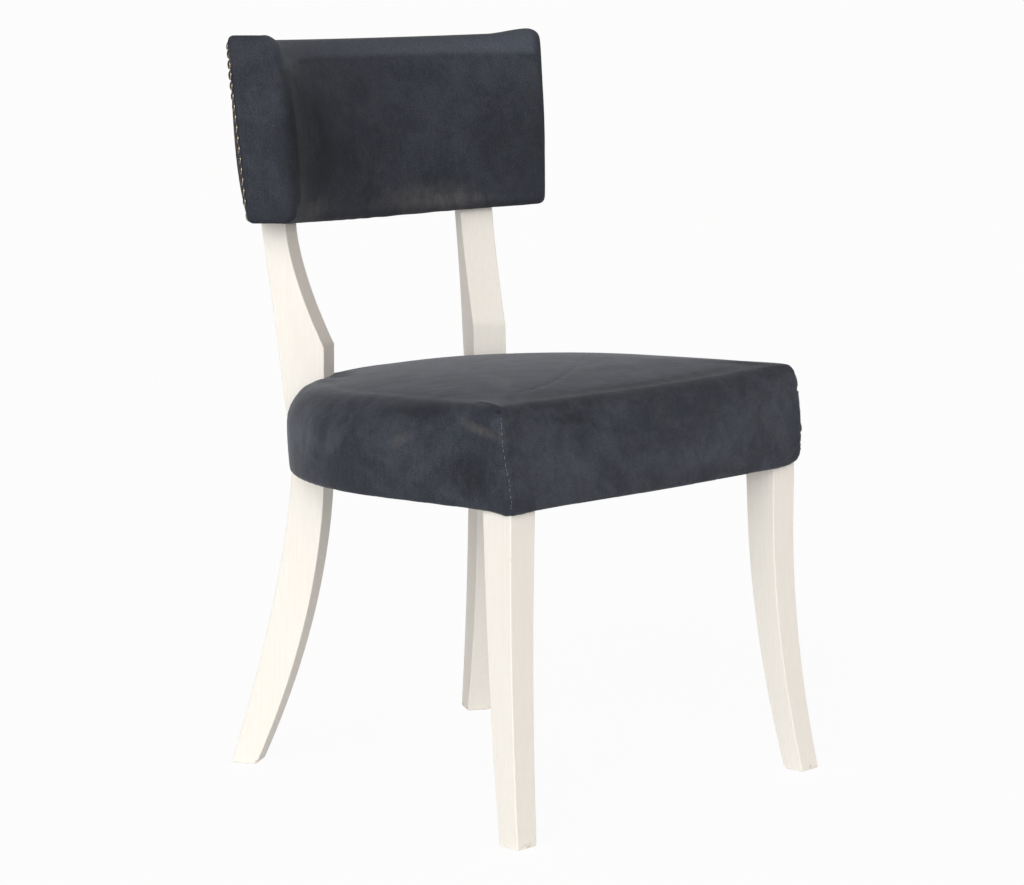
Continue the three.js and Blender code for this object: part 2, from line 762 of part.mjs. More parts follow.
// Nail-head trim along a row of places with the way out of the surface at each: a strip that
// rises to a head at each nail and falls to its own thickness between two
function trimStrip(places) {
  const stations = places.flatMap((place, i) => {
    const next = places[i + 1];
    if (!next) return [{ ...place, height: nailHeight }];
    const between = {
      at: place.at.clone().lerp(next.at, 1 / 2),
      out: place.out.clone().add(next.out).normalize(),
    };
    return [{ ...place, height: nailHeight }, { ...between, height: trimThickness }];
  });
  const along = (i) => {
    const before = stations[Math.max(0, i - 1)].at;
    const after = stations[Math.min(stations.length - 1, i + 1)].at;
    return after.clone().sub(before).normalize();
  };
  const rings = stations.map(({ at, out, height }, i) => {
    const across = along(i).cross(out).normalize();
    const corner = (w, h) =>
      at.clone().addScaledVector(across, w).addScaledVector(out, gap + h);
    const half = trimWidth / 2;
    return [corner(-half, 0), corner(half, 0), corner(half, trimThickness / 2), corner(0, height),
      corner(-half, trimThickness / 2)];
  });
  return loft(rings);
}
const tiltDepth = panelRearRoll * (1 - Math.cos(trimTilt));
const tiltEdge = panelRearRoll * (1 - Math.sin(trimTilt));
function endTrim(side) {
  const low = panelBottom + panelCornerBottom + nailPitch / 2;
  const count = Math.floor((panelTop - panelCornerTop - low) / nailPitch);
  const places = [];
  for (let i = 0; i <= count; i++) {
    const height = low + i * nailPitch;
    const radius = outsideLine(height) - tiltDepth;
    const angle = side.sign * (panelHalfAngle - tiltEdge / panelPostRadius);
    const turn = angle + side.sign * trimTilt;
    places.push({
      at: arcPoint(radius, angle, height),
      out: new THREE.Vector3(Math.sin(turn), Math.cos(turn), 0),
    });
  }
  return trimStrip(places);
}
function edgeTrim(height, upward) {
  const level = height - upward * tiltEdge;
  const radius = outsideLine(level) - tiltDepth;
  const reach = panelHalfAngle - (panelCornerTop + nailPitch / 2) / radius;
  const count = Math.floor((2 * reach * radius) / nailPitch);
  const places = [];
  for (let i = 0; i <= count; i++) {
    const angle = mix(-reach, reach, i / count);
    const out = new THREE.Vector3(Math.sin(angle), Math.cos(angle), 0)
      .multiplyScalar(Math.cos(trimTilt))
      .setZ(upward * Math.sin(trimTilt));
    places.push({ at: arcPoint(radius, angle, level), out });
  }
  return trimStrip(places);
}

// Seat frame
const rails = partRails();
const jointsOf = sides.map(joints);
addPiece(
  "seat_rail_front",
  jointsOf.reduce((rail, joint) => rail.add(tenon(joint.frontRail)), rails.front),
  beech,
);
addPiece(
  "seat_rail_rear",
  jointsOf.reduce((rail, joint) => rail.add(tenon(joint.rearRail)), rails.rear),
  beech,
);
sides.forEach((side, i) => {
  const joint = jointsOf[i];
  const rail = rails.sides[i].add(tenon(joint.sideRailFront)).add(tenon(joint.sideRailRear));
  addPiece("seat_rail_" + side.name, rail, beech);

  const legBolt = frontBoltLine(side);
  const postBolt = rearBoltLine(side);
  addPiece(
    "front_leg_" + side.name,
    frontLeg(side)
      .subtract(tenon(joint.frontRail, gap))
      .subtract(tenon(joint.sideRailFront, gap))
      .subtract(boltBore(legBolt)),
    paintedWood,
  );
  let post = rearPost(side)
    .subtract(tenon(joint.sideRailRear, gap))
    .subtract(tenon(joint.rearRail, gap))
    .subtract(boltBore(postBolt));
  screwLines(side).forEach((line, k) => {
    post = post.subtract(screw(line, gap));
    addPiece("shell_screw_" + side.name + "_" + (k + 1), screw(line, 0), zincSteel);
  });
  addPiece("rear_post_" + side.name, post, paintedWood);

  const blocks = [
    { name: "front_" + side.name, solid: frontBlock(side), line: legBolt },
    { name: "rear_" + side.name, solid: rearBlock(side), line: postBolt },
  ];
  for (const { name, solid, line } of blocks) {
    const fitted = solid
      .subtract(frontLeg(side, gap))
      .subtract(postNotch(side, gap))
      .subtract(boltBore(line));
    addPiece("corner_block_" + name, fitted, beech);
    addPiece("corner_bolt_" + name, bolt(line), zincSteel);
    addPiece("corner_washer_" + name, washer(line), zincSteel);
  }
});

const clearOf = (solid, cutters) => cutters.reduce((left, cutter) => left.subtract(cutter), solid);
const notches = sides.map((side) => postNotch(side, gap));
const legRooms = sides.map((side) => frontLeg(side, gap));
const sockets = sides.map((side) => postSocket(side, gap));

// Seat upholstery
addPiece(
  "seat_deck",
  clearOf(plate(insetOutline(railInset), railTop + gap, deckTop), notches),
  plywood,
);
addPiece(
  "seat_foam",
  clearOf(cushion(coverThickness + gap, railBottom), [
    plate(insetOutline(railInset - gap), railBottom - overrun, deckTop + gap),
    ...legRooms,
    ...notches,
  ]),
  foam,
);
addPiece(
  "seat_cover",
  clearOf(cushion(0, coverBottom), [coverInside(), ...legRooms, ...notches]),
  velvet,
);
addPiece(
  "dust_cover",
  clearOf(
    plate(insetOutline(hemWidth + gap), railBottom - gap - dustCoverThickness, railBottom - gap),
    [...legRooms, ...notches],
  ),
  cambric,
);

// Back panel
const panel = panelSolid(0);
const panelInside = panelSolid(coverThickness);
const frameRoom = panelSolid(coverThickness + gap);
const shell = bentBlock(shellFront, shellRear, straightLevels, straightLevels);
const behindShell = bentBlock(postLine, frameRear, straightLevels).intersect(frameRoom);
const low = panelBottom - overrun;
const high = panelTop + overrun;
const screwRooms = sides.flatMap((side) => screwLines(side).map((line) => screw(line, gap)));
addPiece("back_shell", clearOf(shell.intersect(frameRoom), screwRooms), plywood);
addPiece(
  "back_foam",
  frameRoom.subtract(bentBlock(foamRear, pastPanel, straightLevels, straightLevels)),
  foam,
);
addPiece(
  "back_rail_top",
  behindShell.intersect(sector(-blockReach, blockReach, topRailLow, high)),
  beech,
);
const bottomRails = clearOf(behindShell, sockets);
addPiece(
  "back_rail_bottom",
  bottomRails.intersect(sector(-postAngle, postAngle, low, bottomRailHigh)),
  beech,
);
for (const side of sides) {
  const span = (from, to) => (side.sign < 0 ? [-to, -from] : [from, to]);
  const end = sector(...span(endAngle, blockReach), low, topRailLow - gap);
  addPiece("back_batten_" + side.name, behindShell.intersect(end), beech);
  const beside = span(postAngle, endAngle - gap / panelPostRadius);
  addPiece(
    "back_rail_bottom_" + side.name,
    bottomRails.intersect(sector(...beside, low, bottomRailHigh)),
    beech,
  );
  addPiece("nail_trim_" + side.name, endTrim(side), antiqueBrass);
}
const behind = (lineAt) => bentBlock(lineAt, pastPanel, blockLevels, straightLevels);
addPiece(
  "back_cover_inside",
  clearOf(panel, [behind(frameRear), panelInside, ...sockets]),
  velvet,
);
addPiece("back_cover_outside", panel.intersect(behind(boardFront)), velvet);
addPiece("nail_trim_top", edgeTrim(panelTop, 1), antiqueBrass);
addPiece("nail_trim_bottom", edgeTrim(panelBottom, -1), antiqueBrass);

// The group stands on the middle of its own box
const box = new THREE.Box3().setFromObject(chair);
const centre = box.getCenter(new THREE.Vector3());
chair.position.set(-centre.x, -centre.y, -box.min.z);

export default chair;
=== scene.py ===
# A klismos chair: lime-washed legs and posts, a round-backed velvet seat and a curved velvet back
# with a run of nail heads round its outside face. Metres, +Z up, the chair faces -Y.
import json
import math

import bmesh
import bpy
import numpy as np
from mathutils import Matrix, Vector
from mathutils.bvhtree import BVHTree


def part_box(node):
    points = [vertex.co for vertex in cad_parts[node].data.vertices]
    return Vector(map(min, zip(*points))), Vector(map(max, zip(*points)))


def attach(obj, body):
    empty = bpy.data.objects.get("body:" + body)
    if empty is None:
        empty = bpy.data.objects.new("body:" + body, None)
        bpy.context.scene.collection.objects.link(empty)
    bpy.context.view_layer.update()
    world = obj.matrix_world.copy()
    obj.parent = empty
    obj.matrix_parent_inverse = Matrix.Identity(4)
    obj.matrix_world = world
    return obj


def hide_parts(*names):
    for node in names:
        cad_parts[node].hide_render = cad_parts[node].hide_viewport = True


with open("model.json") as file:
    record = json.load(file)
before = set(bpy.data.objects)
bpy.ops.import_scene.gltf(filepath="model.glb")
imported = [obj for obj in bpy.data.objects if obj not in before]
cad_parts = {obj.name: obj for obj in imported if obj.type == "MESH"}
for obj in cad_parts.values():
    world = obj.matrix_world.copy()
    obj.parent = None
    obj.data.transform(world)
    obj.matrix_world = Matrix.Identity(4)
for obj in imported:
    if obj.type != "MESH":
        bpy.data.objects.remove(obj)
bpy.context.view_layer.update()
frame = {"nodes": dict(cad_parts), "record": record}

bl_info = {
    "name": "Klismos chair",
    "version": (1, 0, 0),
    "blender": (4, 5, 0),
    "location": "View3D > Sidebar > Chair",
    "description": "Dresses the packed klismos chair in painted wood, velvet and nail heads",
    "category": "Object",
}

SIDES = (("left", -1), ("right", 1))

# Plan of the seat, about the centre of its round back
SEAT_RADIUS = 0.2715
SEAT_CORNER_X = 0.243
SEAT_CORNER_Y = 0.223
SEAT_BOW = 0.008
RAIL_BOTTOM = 0.368
RAIL_TOP = 0.432
COVER_BOTTOM = 0.3661
HEM_WIDTH = 0.016

# Top edge and crown of the seat
EDGE_FRONT = 0.481
EDGE_REAR = 0.468
SEAT_CROWN = 0.020
ROLL_FRONT = 0.022
ROLL_SIDE = 0.014
ROLL_CORNER = 0.006
ROLL_REAR = 0.046
FRONT_BATTER = 0.012
BAND_BULGE = 0.003
CORNER_DRAW = 0.007
CORNER_DRAW_REACH = 0.075
CORNER_DRAW_FROM = 0.375
CORNER_DRAW_FULL = 0.455
SIDE_RINGS = 12
ROLL_RINGS = 8
TOP_RINGS = 20

# Unevenness of the seat: its corner seams, the far corner's rise and the lift of the hem there
SEAM_TOP = 0.4785
SEAM_FORWARD = 0.002
SEAM_LEAN = 0.0075
SEAM_LEAN_WAY = (0.138, 0.990)
FAR_CORNER_RISE = 0.0048
HEM_LIFT = 0.0145
HEM_LIFT_FROM = 0.198
HEM_LIFT_WIDTH = 0.047
HEM_LIFT_DEPTH = 0.035
HEM_LIFT_TOP = 0.416

# The posts' middles where they pass the seat, the room left round the wood, and the cutters' ends
POST_PASS_X = 0.152
POST_PASS_Y = 0.163
GATHER_Y = 0.160
WOOD_ROOM = 0.0005
CLOTH_ROOM = 0.0008
SOCKET_ROOM = 0.0006
CUT_BELOW_SEAT = 0.34
CUT_ABOVE_SEAT = 0.52
CUT_ABOVE_CLOTH = 0.40
CUT_BELOW_BACK = 0.60
CUT_BEHIND = 0.03

# Front legs
LEG_WIDTH = 0.0385
LEG_DEPTH = 0.043
LEG_OUTER_X = 0.239
LEG_FRONT_Y = 0.216
LEG_FOOT_WIDTH = 0.030
LEG_FOOT_DEPTH = 0.028
LEG_STRAIGHT_FROM = 0.300
LEG_KICK = 0.0285
LEG_SPLAY = 0.018
LEG_DRESS = 0.006
LEG_CURVE = 1.9
LEG_STEPS = 22
LEG_DRESS_STEPS = 5

# Rounding of the wood: an edge is sharp from this angle on, and a bevel's faces are this narrow
SHARP_ANGLE = math.radians(50)
NARROW_FACE = 0.0013
SOLE_MARGIN = 1e-5

# Rear posts, in their own plane
POST_TURN = math.radians(30)
POST_X = 0.134
POST_Y = 0.186
POST_WIDTH = 0.041
POST_FOOT_WIDTH = 0.031
POST_FOOT_DEPTH = 0.0315
POST_SEAT_DEPTH = 0.040
POST_TOP_DEPTH = 0.030
POST_KICK = 0.088
POST_SPLAY = 0.010
POST_DRAW = 0.004
POST_SETBACK = 0.047
KNEE_HEIGHT = 0.505
POST_CURVE = 1.9
POST_REAR_CURVE = 1.5
NECK_CURVE = 1.5
NECK_REAR_CURVE = 1.15
POST_STEPS = 22
NECK_STEPS = 14

# Back panel, in arcs about an upright axis
PANEL_AXIS_Y = -0.046
PANEL_BOTTOM = 0.648
PANEL_HEIGHT = 0.211
PANEL_TOP = PANEL_BOTTOM + PANEL_HEIGHT
PANEL_END_RISE = 0.006
PANEL_END_DRAW = 0.006
PANEL_HALF_ANGLE = math.radians(45)
PANEL_LEAN = 0.105
PANEL_RADIUS = 0.314
PAD_STAND = 0.021
PAD_CROWN = 0.011
REAR_STAND = 0.035
REAR_CROWN = 0.0066
BOARD_THICKNESS = 0.0024
BATTEN_ROOM = 0.0006
COVER_GAP = 0.0003
ROLL_TOP = 0.016
ROLL_BOTTOM = 0.012
REAR_ROLL = 0.007
END_FOLD = 0.013
CORNER_TOP = 0.014
CORNER_BOTTOM = 0.008
COVER_END_RISE = 0.0048
COVER_END_BULGE = 0.0018
COVER_HEM_SAG = 0.0048
TOP_ROLL_DEPTH = 0.021
TOP_ROLL_STEP = 0.0010
DRAG_DEPTH = 0.0003
PANEL_STEPS = 72
FACE_STEPS = 20
ARC_STEPS = 6
CUT_PAST_PANEL = 0.03
CUT_PAST_ANGLE = 0.08
POST_TOP = PANEL_TOP - 0.0262

# Covers: how far the padding starts inside its shape before it swells, how far inside it may
# stay after that, and the depth of the skin
START_INSET = 0.0015
SWELL_FRAMES = 20
DEEPEST_INSIDE = 0.0002
SKIN = 0.0019
PADDING_INSET = 0.0045
STITCH_PITCH = 0.0036
STITCH_HALF_SIZE = (0.00034, 0.0012, 0.00030)
MERGE_DISTANCE = 1e-6

# Nail heads: their lean out of the face, their depth in the roll and their distance from its edge
NAIL_TILT = math.radians(12)
NAIL_DEPTH = REAR_ROLL * (1 - math.cos(NAIL_TILT))
NAIL_EDGE = REAR_ROLL * (1 - math.sin(NAIL_TILT))

# The rows of nail heads: where they start, end and turn in, and the heads of real nails
NAILS_ABOVE_BOTTOM = 0.026
NAILS_BELOW_TOP = 0.008
NAILS_TURN_IN = 0.010
NAILS_TURN_FROM = 0.036
NAILS_TURN_TO = 0.010
LEVEL_ROW_INSET = 0.0015
TOP_ROW_GAP = 0.020
BOTTOM_ROW_GAP = 0.030
NAIL_STAND = 0.0003
REAL_NAIL_EVERY = 5
REAL_NAIL_GROWTH = 1.06

# Dust cover and staples
CLOTH_HEIGHT = RAIL_BOTTOM - 0.0011
CLOTH_THICKNESS = 0.0005
CLOTH_SAG = 0.0045
CLOTH_WAVE = 0.0012
STAPLE_PITCH = 0.028
STAPLE_INSET = 0.009
STAPLE_CLEAR = 0.010
STAPLE_POST_CLEAR = 0.042
STAPLE_SIZE = (0.0010, 0.0086, 0.0006)

# Camera, as fitted to the photograph, with its width and focal length in pixels
PHOTO_WIDTH = 1024
FOCAL_LENGTH = 3273
SENSOR_WIDTH = 36
CAMERA_PLACE = (-2.717, -2.68582, 0.965)
CAMERA_PITCH = math.radians(90 - 8.55)
CAMERA_HEADING = math.radians(-45.6)
FLOOR_SIZE = 400
CLIP_END = 500

FOOT_REACH = LEG_FRONT_Y + LEG_KICK
REARWARD = -FOOT_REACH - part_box("front_leg_left")[0].y


def mix(a, b, share):
    return a + (b - a) * share


def smooth(value, low, high):
    """A smooth step from 0 at low to 1 at high, for a number or an array."""
    share = np.clip((value - low) / (high - low), 0, 1)
    return share * share * (3 - 2 * share)


def bell(distance, width, height=1.0, at=0.0):
    """A bell curve of an array of distances; a height below zero makes a groove."""
    return height * np.exp(-(((distance - at) / width) ** 2))


# Objects and meshes


def deselect():
    if bpy.context.object and bpy.context.object.mode != "OBJECT":
        bpy.ops.object.mode_set(mode="OBJECT")
    bpy.ops.object.select_all(action="DESELECT")


def make_active(piece):
    deselect()
    piece.select_set(True)
    bpy.context.view_layer.objects.active = piece


def apply_modifier(piece, kind, **settings):
    modifier = piece.modifiers.new(kind.title(), kind)
    for key, value in settings.items():
        setattr(modifier, key, value)
    make_active(piece)
    bpy.ops.object.modifier_apply(modifier=modifier.name)


def apply_place(piece):
    make_active(piece)
    bpy.ops.object.transform_apply(location=True, rotation=True, scale=True)


def edit_all():
    """Opens the active piece in edit mode, with all of it selected."""
    bpy.ops.object.mode_set(mode="EDIT")
    bpy.ops.mesh.select_all(action="SELECT")


def close_edit():
    """Turns every face outwards and leaves edit mode."""
    bpy.ops.mesh.select_all(action="SELECT")
    bpy.ops.mesh.normals_make_consistent(inside=False)
    bpy.ops.object.mode_set(mode="OBJECT")


def select_where(piece, elements, wanted):
    """Selects, in edit mode, only those edges or faces that wanted picks."""
    bpy.ops.mesh.select_mode(type={"edges": "EDGE", "faces": "FACE"}[elements])
    bpy.ops.mesh.select_all(action="DESELECT")
    body = bmesh.from_edit_mesh(piece.data)
    body.normal_update()
    for element in getattr(body, elements):
        element.select = wanted(element)
    body.select_flush_mode()
    bmesh.update_edit_mesh(piece.data)


def recalculate_normals(piece):
    make_active(piece)
    edit_all()
    bpy.ops.mesh.remove_doubles(threshold=MERGE_DISTANCE)
    close_edit()


def smooth_by_angle(piece, degrees):
    make_active(piece)
    bpy.ops.object.shade_smooth_by_angle(angle=math.radians(degrees))


def link_piece(name, data):
    piece = bpy.data.objects.new(name, data)
    bpy.context.scene.collection.objects.link(piece)
    return piece


def piece_from(name, points, faces):
    mesh = bpy.data.meshes.new(name)
    mesh.from_pydata([tuple(p) for p in points], [], faces)
    return link_piece(name, mesh)


def copy_of_node(name, node):
    """A new piece with the mesh of a CAD node."""
    source = frame["nodes"][node].data
    points = [v.co for v in source.vertices]
    piece = piece_from(name, points, [tuple(face.vertices) for face in source.polygons])
    recalculate_normals(piece)
    return piece


def lofted(name, rings):
    """A closed body through rings of points, with a fan over each end."""
    count = len(rings[0])
    points = [p for ring in rings for p in ring]
    faces = []
    for k in range(len(rings) - 1):
        for i in range(count):
            j = (i + 1) % count
            faces.append((k * count + i, k * count + j, (k + 1) * count + j, (k + 1) * count + i))
    last = (len(rings) - 1) * count
    first_middle = len(points)
    points = points + [sum(rings[0], Vector()) / count, sum(rings[-1], Vector()) / count]
    for i in range(count):
        j = (i + 1) % count
        faces.append((first_middle, j, i))
        faces.append((first_middle + 1, last + i, last + j))
    piece = piece_from(name, points, faces)
    recalculate_normals(piece)
    face_outwards(piece)
    return piece


def face_outwards(piece):
    """Turns a closed body's faces round if the body measures less than nothing."""
    body = bmesh.new()
    body.from_mesh(piece.data)
    if body.calc_volume(signed=True) < 0:
        bmesh.ops.reverse_faces(body, faces=body.faces)
        body.to_mesh(piece.data)
    body.free()


def coordinates(piece):
    flat = np.empty(len(piece.data.vertices) * 3)
    piece.data.vertices.foreach_get("co", flat)
    return flat.reshape(-1, 3)


def vertex_normals(piece):
    flat = np.empty(len(piece.data.vertices) * 3)
    piece.data.vertex_normals.foreach_get("vector", flat)
    return flat.reshape(-1, 3)


def set_coordinates(piece, points):
    piece.data.vertices.foreach_set("co", np.ascontiguousarray(points).ravel())
    piece.data.update()


def snap_to(piece, shape, deepest=None):
    """Moves the vertices onto shape, or only those that lie further than deepest inside it."""
    tree = BVHTree.FromObject(shape, bpy.context.evaluated_depsgraph_get())
    points = coordinates(piece)
    for i, point in enumerate(points):
        near, normal, _, _ = tree.find_nearest(point)
        if deepest is None:
            points[i] = near
        elif (Vector(point) - near).dot(normal) < -deepest:
            points[i] = near - normal * deepest
    set_coordinates(piece, points)


def cut(piece, cutter, operation="DIFFERENCE"):
    apply_modifier(piece, "BOOLEAN", operation=operation, solver="MANIFOLD", object=cutter)


def discard(piece):
    mesh = piece.data
    bpy.data.objects.remove(piece)
    bpy.data.meshes.remove(mesh)


def write_attribute(piece, name, values):
    attribute = piece.data.attributes.new(name, "FLOAT", "POINT")
    attribute.data.foreach_set("value", values)


def finish_piece(piece, material):
    piece.data.materials.clear()
    piece.data.materials.append(bpy.data.materials[material])
    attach(piece, "root")


def distance_to_path(points, path):
    """Distance of each point from a run of straight lines, and how far along the run it lies."""
    nearest = np.full(len(points), 1e9)
    along = np.zeros(len(points))
    travelled = 0.0
    for a, b in zip(path[:-1], path[1:]):
        a, b = np.array(a), np.array(b)
        line = b - a
        length = np.linalg.norm(line)
        share = np.clip((points - a) @ line / length**2, 0, 1)
        distance = np.linalg.norm(points - (a + share[:, None] * line), axis=1)
        closer = distance < nearest
        nearest = np.where(closer, distance, nearest)
        along = np.where(closer, travelled + share * length, along)
        travelled += length
    return nearest, along, travelled


# Node trees


class Tree:
    """Adds nodes to a node tree and wires them from plain values or sockets."""

    def __init__(self, tree):
        self.tree = tree

    def feed(self, node, name, value):
        socket = node.inputs[name]
        if isinstance(value, bpy.types.NodeSocket):
            self.tree.links.new(value, socket)
        else:
            socket.default_value = value

    def feed_all(self, node, **inputs):
        for key, value in inputs.items():
            self.feed(node, key.replace("_", " "), value)

    def add(self, kind, settings=None, **inputs):
        node = self.tree.nodes.new(kind)
        for key, value in (settings or {}).items():
            setattr(node, key, value)
        self.feed_all(node, **inputs)
        return node

    def math(self, operation, a, b):
        node = self.add("ShaderNodeMath", {"operation": operation})
        self.feed(node, 0, a)
        self.feed(node, 1, b)
        return node.outputs[0]

    def times(self, a, b):
        return self.math("MULTIPLY", a, b)

    def vector(self, operation, a, b):
        node = self.add("ShaderNodeVectorMath", {"operation": operation})
        self.feed(node, 0, a)
        self.feed(node, 1, b)
        return node.outputs["Vector"]

    def noise(self, place, scale, detail=3.0, roughness=0.5, distortion=0.0):
        node = self.add(
            "ShaderNodeTexNoise",
            {"noise_dimensions": "3D"},
            Vector=place,
            Scale=scale,
            Detail=detail,
            Roughness=roughness,
            Distortion=distortion,
        )
        return node.outputs["Fac"]

    def ramp(self, value, low, high, to_low=0.0, to_high=1.0):
        node = self.add(
            "ShaderNodeMapRange",
            {"interpolation_type": "SMOOTHSTEP"},
            Value=value,
            From_Min=low,
            From_Max=high,
            To_Min=to_low,
            To_Max=to_high,
        )
        return node.outputs["Result"]

    def blend(self, share, a, b, kind="MIX"):
        node = self.add("ShaderNodeMix", {"data_type": "RGBA", "blend_type": kind})
        self.feed(node, 0, share)
        self.feed(node, 6, a)
        self.feed(node, 7, b)
        return node.outputs[2]

    def bump(self, height, strength, distance):
        node = self.add("ShaderNodeBump", Height=height, Strength=strength, Distance=distance)
        return node.outputs["Normal"]

    def group(self, name, **inputs):
        return self.add("ShaderNodeGroup", {"node_tree": bpy.data.node_groups[name]}, **inputs)

    def attribute(self, name):
        return self.add("ShaderNodeAttribute", {"attribute_name": name}).outputs["Fac"]

    def place(self):
        return self.add("ShaderNodeTexCoord").outputs["Object"]


def new_group(name, inputs, outputs):
    """A shader node group; returns its tree, its input sockets and its output node. An input is
    a number or a vector, as its default is, and each output is a number."""
    group = bpy.data.node_groups.new(name, "ShaderNodeTree")
    for label, default in inputs.items():
        kind = "NodeSocketFloat" if isinstance(default, float) else "NodeSocketVector"
        socket = group.interface.new_socket(name=label, in_out="INPUT", socket_type=kind)
        socket.default_value = default
    for label in outputs:
        group.interface.new_socket(name=label, in_out="OUTPUT", socket_type="NodeSocketFloat")
    entry = group.nodes.new("NodeGroupInput")
    leave = group.nodes.new("NodeGroupOutput")
    return Tree(group), entry.outputs, leave


def new_material(name):
    material = bpy.data.materials.new(name)
    material.use_nodes = True
    tree = Tree(material.node_tree)
    shader = material.node_tree.nodes["Principled BSDF"]
    return material, tree, shader


def make_nap_group():
    """Velvet pile: brushed patches, streaks along the brush, rows of pile and the pile itself."""
    inputs = {
        "Vector": (0, 0, 0),
        "Lying": 0.0,
        "Patch Scale": 13.0,
        "Streak Scale": 85.0,
        "Row Scale": 620.0,
        "Pile Scale": 800.0,
    }
    tree, given, leave = new_group("Velvet nap", inputs, ("Patches", "Streaks", "Rows", "Pile"))
    place = given["Vector"]
    wide = tree.noise(place, given["Patch Scale"], 4.0, 0.55, 0.9)
    aside = tree.vector("ADD", place, (3.1, 1.7, 0.4))
    near = tree.noise(aside, tree.times(given["Patch Scale"], 2.7), 5.0, 0.6, 1.4)
    both = tree.math("ADD", tree.times(wide, 0.62), tree.times(near, 0.38))
    turned = tree.add("ShaderNodeMapping", Vector=place, Rotation=(0, 0.28, 0))
    upright = tree.vector("MULTIPLY", turned.outputs[0], (1.0, 1.0, 0.38))
    across = tree.add("ShaderNodeMapping", Vector=place, Rotation=(0, 0, math.pi / 4))
    flat = tree.vector("MULTIPLY", across.outputs[0], (0.10, 1.0, 1.0))
    streaks = tree.add("ShaderNodeMix", {"data_type": "FLOAT"})
    tree.feed(streaks, 0, given["Lying"])
    tree.feed(streaks, 2, tree.noise(upright, given["Streak Scale"], 4.0, 0.6, 0.4))
    tree.feed(streaks, 3, tree.noise(flat, given["Streak Scale"], 4.0, 0.6, 0.4))
    rows = tree.vector("MULTIPLY", place, (1.0, 1.0, 0.05))
    tree.feed_all(
        leave,
        Patches=tree.ramp(both, 0.40, 0.62),
        Streaks=tree.ramp(streaks.outputs[0], 0.36, 0.66),
        Rows=tree.noise(rows, given["Row Scale"], 2.0, 0.6),
        Pile=tree.noise(place, given["Pile Scale"], 2.0, 0.7),
    )


def make_patch_group():
    """A patch of the cloth for brushed nap, and also for painted shade and painted highlight: a
    soft-edged, ragged ellipsoid at a place on the piece.
    """
    inputs = {
        "Vector": (0, 0, 0),
        "Centre": (0, 0, 0),
        "Size": (0.03, 0.03, 0.03),
        "Turn": (0, 0, 0),
        "Edge": 0.5,
        "Ragged": 0.022,
    }
    tree, given, leave = new_group("Brushed patch", inputs, ("Mask",))
    ragged = tree.add("ShaderNodeTexNoise", Vector=given["Vector"], Scale=55.0, Detail=3.0)
    push = tree.vector("SUBTRACT", ragged.outputs["Color"], (0.5, 0.5, 0.5))
    pushed = tree.add("ShaderNodeVectorMath", {"operation": "SCALE"}, Scale=given["Ragged"])
    tree.feed(pushed, 0, push)
    local = tree.add(
        "ShaderNodeMapping",
        {"vector_type": "TEXTURE"},
        Vector=tree.vector("ADD", given["Vector"], pushed.outputs["Vector"]),
        Location=given["Centre"],
        Rotation=given["Turn"],
        Scale=given["Size"],
    )
    reach = tree.add("ShaderNodeVectorMath", {"operation": "LENGTH"})
    tree.feed(reach, 0, local.outputs["Vector"])
    start = tree.math("SUBTRACT", 1.0, given["Edge"])
    tree.feed(leave, "Mask", tree.ramp(reach.outputs["Value"], start, 1.0, 1.0, 0.0))


def make_grain_group():
    """Wood grain along Z: broad figure, fine lines and open pores."""
    inputs = {"Vector": (0, 0, 0), "Line Scale": 260.0, "Stretch": 0.04}
    tree, given, leave = new_group("Wood grain", inputs, ("Figure", "Lines", "Pores"))
    along = tree.add("ShaderNodeCombineXYZ", X=1.0, Y=1.0, Z=given["Stretch"])
    place = tree.vector("MULTIPLY", given["Vector"], along.outputs[0])
    scale = given["Line Scale"]
    broad = tree.noise(place, tree.times(scale, 0.12), 3.0, 0.55, 0.6)
    lines = tree.noise(place, scale, 4.0, 0.62, 0.2)
    fine = tree.noise(place, tree.times(scale, 3.4), 2.0, 0.6, 0.0)
    tree.feed_all(
        leave,
        Figure=tree.ramp(broad, 0.33, 0.68),
        Lines=tree.ramp(lines, 0.32, 0.70),
        Pores=tree.ramp(fine, 0.60, 0.74),
    )


def make_wear_and_highlight_group():
    """Breaks an edge mask up with noise, so that only stretches of it show: rubbed edges on the
    wood and the steel, and the painted highlight round the rims of the nail heads.
    """
    inputs = {"Vector": (0, 0, 0), "Edge": 0.0, "Amount": 0.5, "Scale": 40.0}
    tree, given, leave = new_group("Edge wear", inputs, ("Mask",))
    rough = tree.noise(given["Vector"], given["Scale"], 5.0, 0.65, 0.3)
    reach = tree.math("ADD", tree.times(given["Edge"], 0.5), rough)
    start = tree.math("SUBTRACT", 1.28, tree.times(given["Amount"], 0.5))
    tree.feed(leave, "Mask", tree.ramp(reach, start, tree.math("ADD", start, 0.10)))


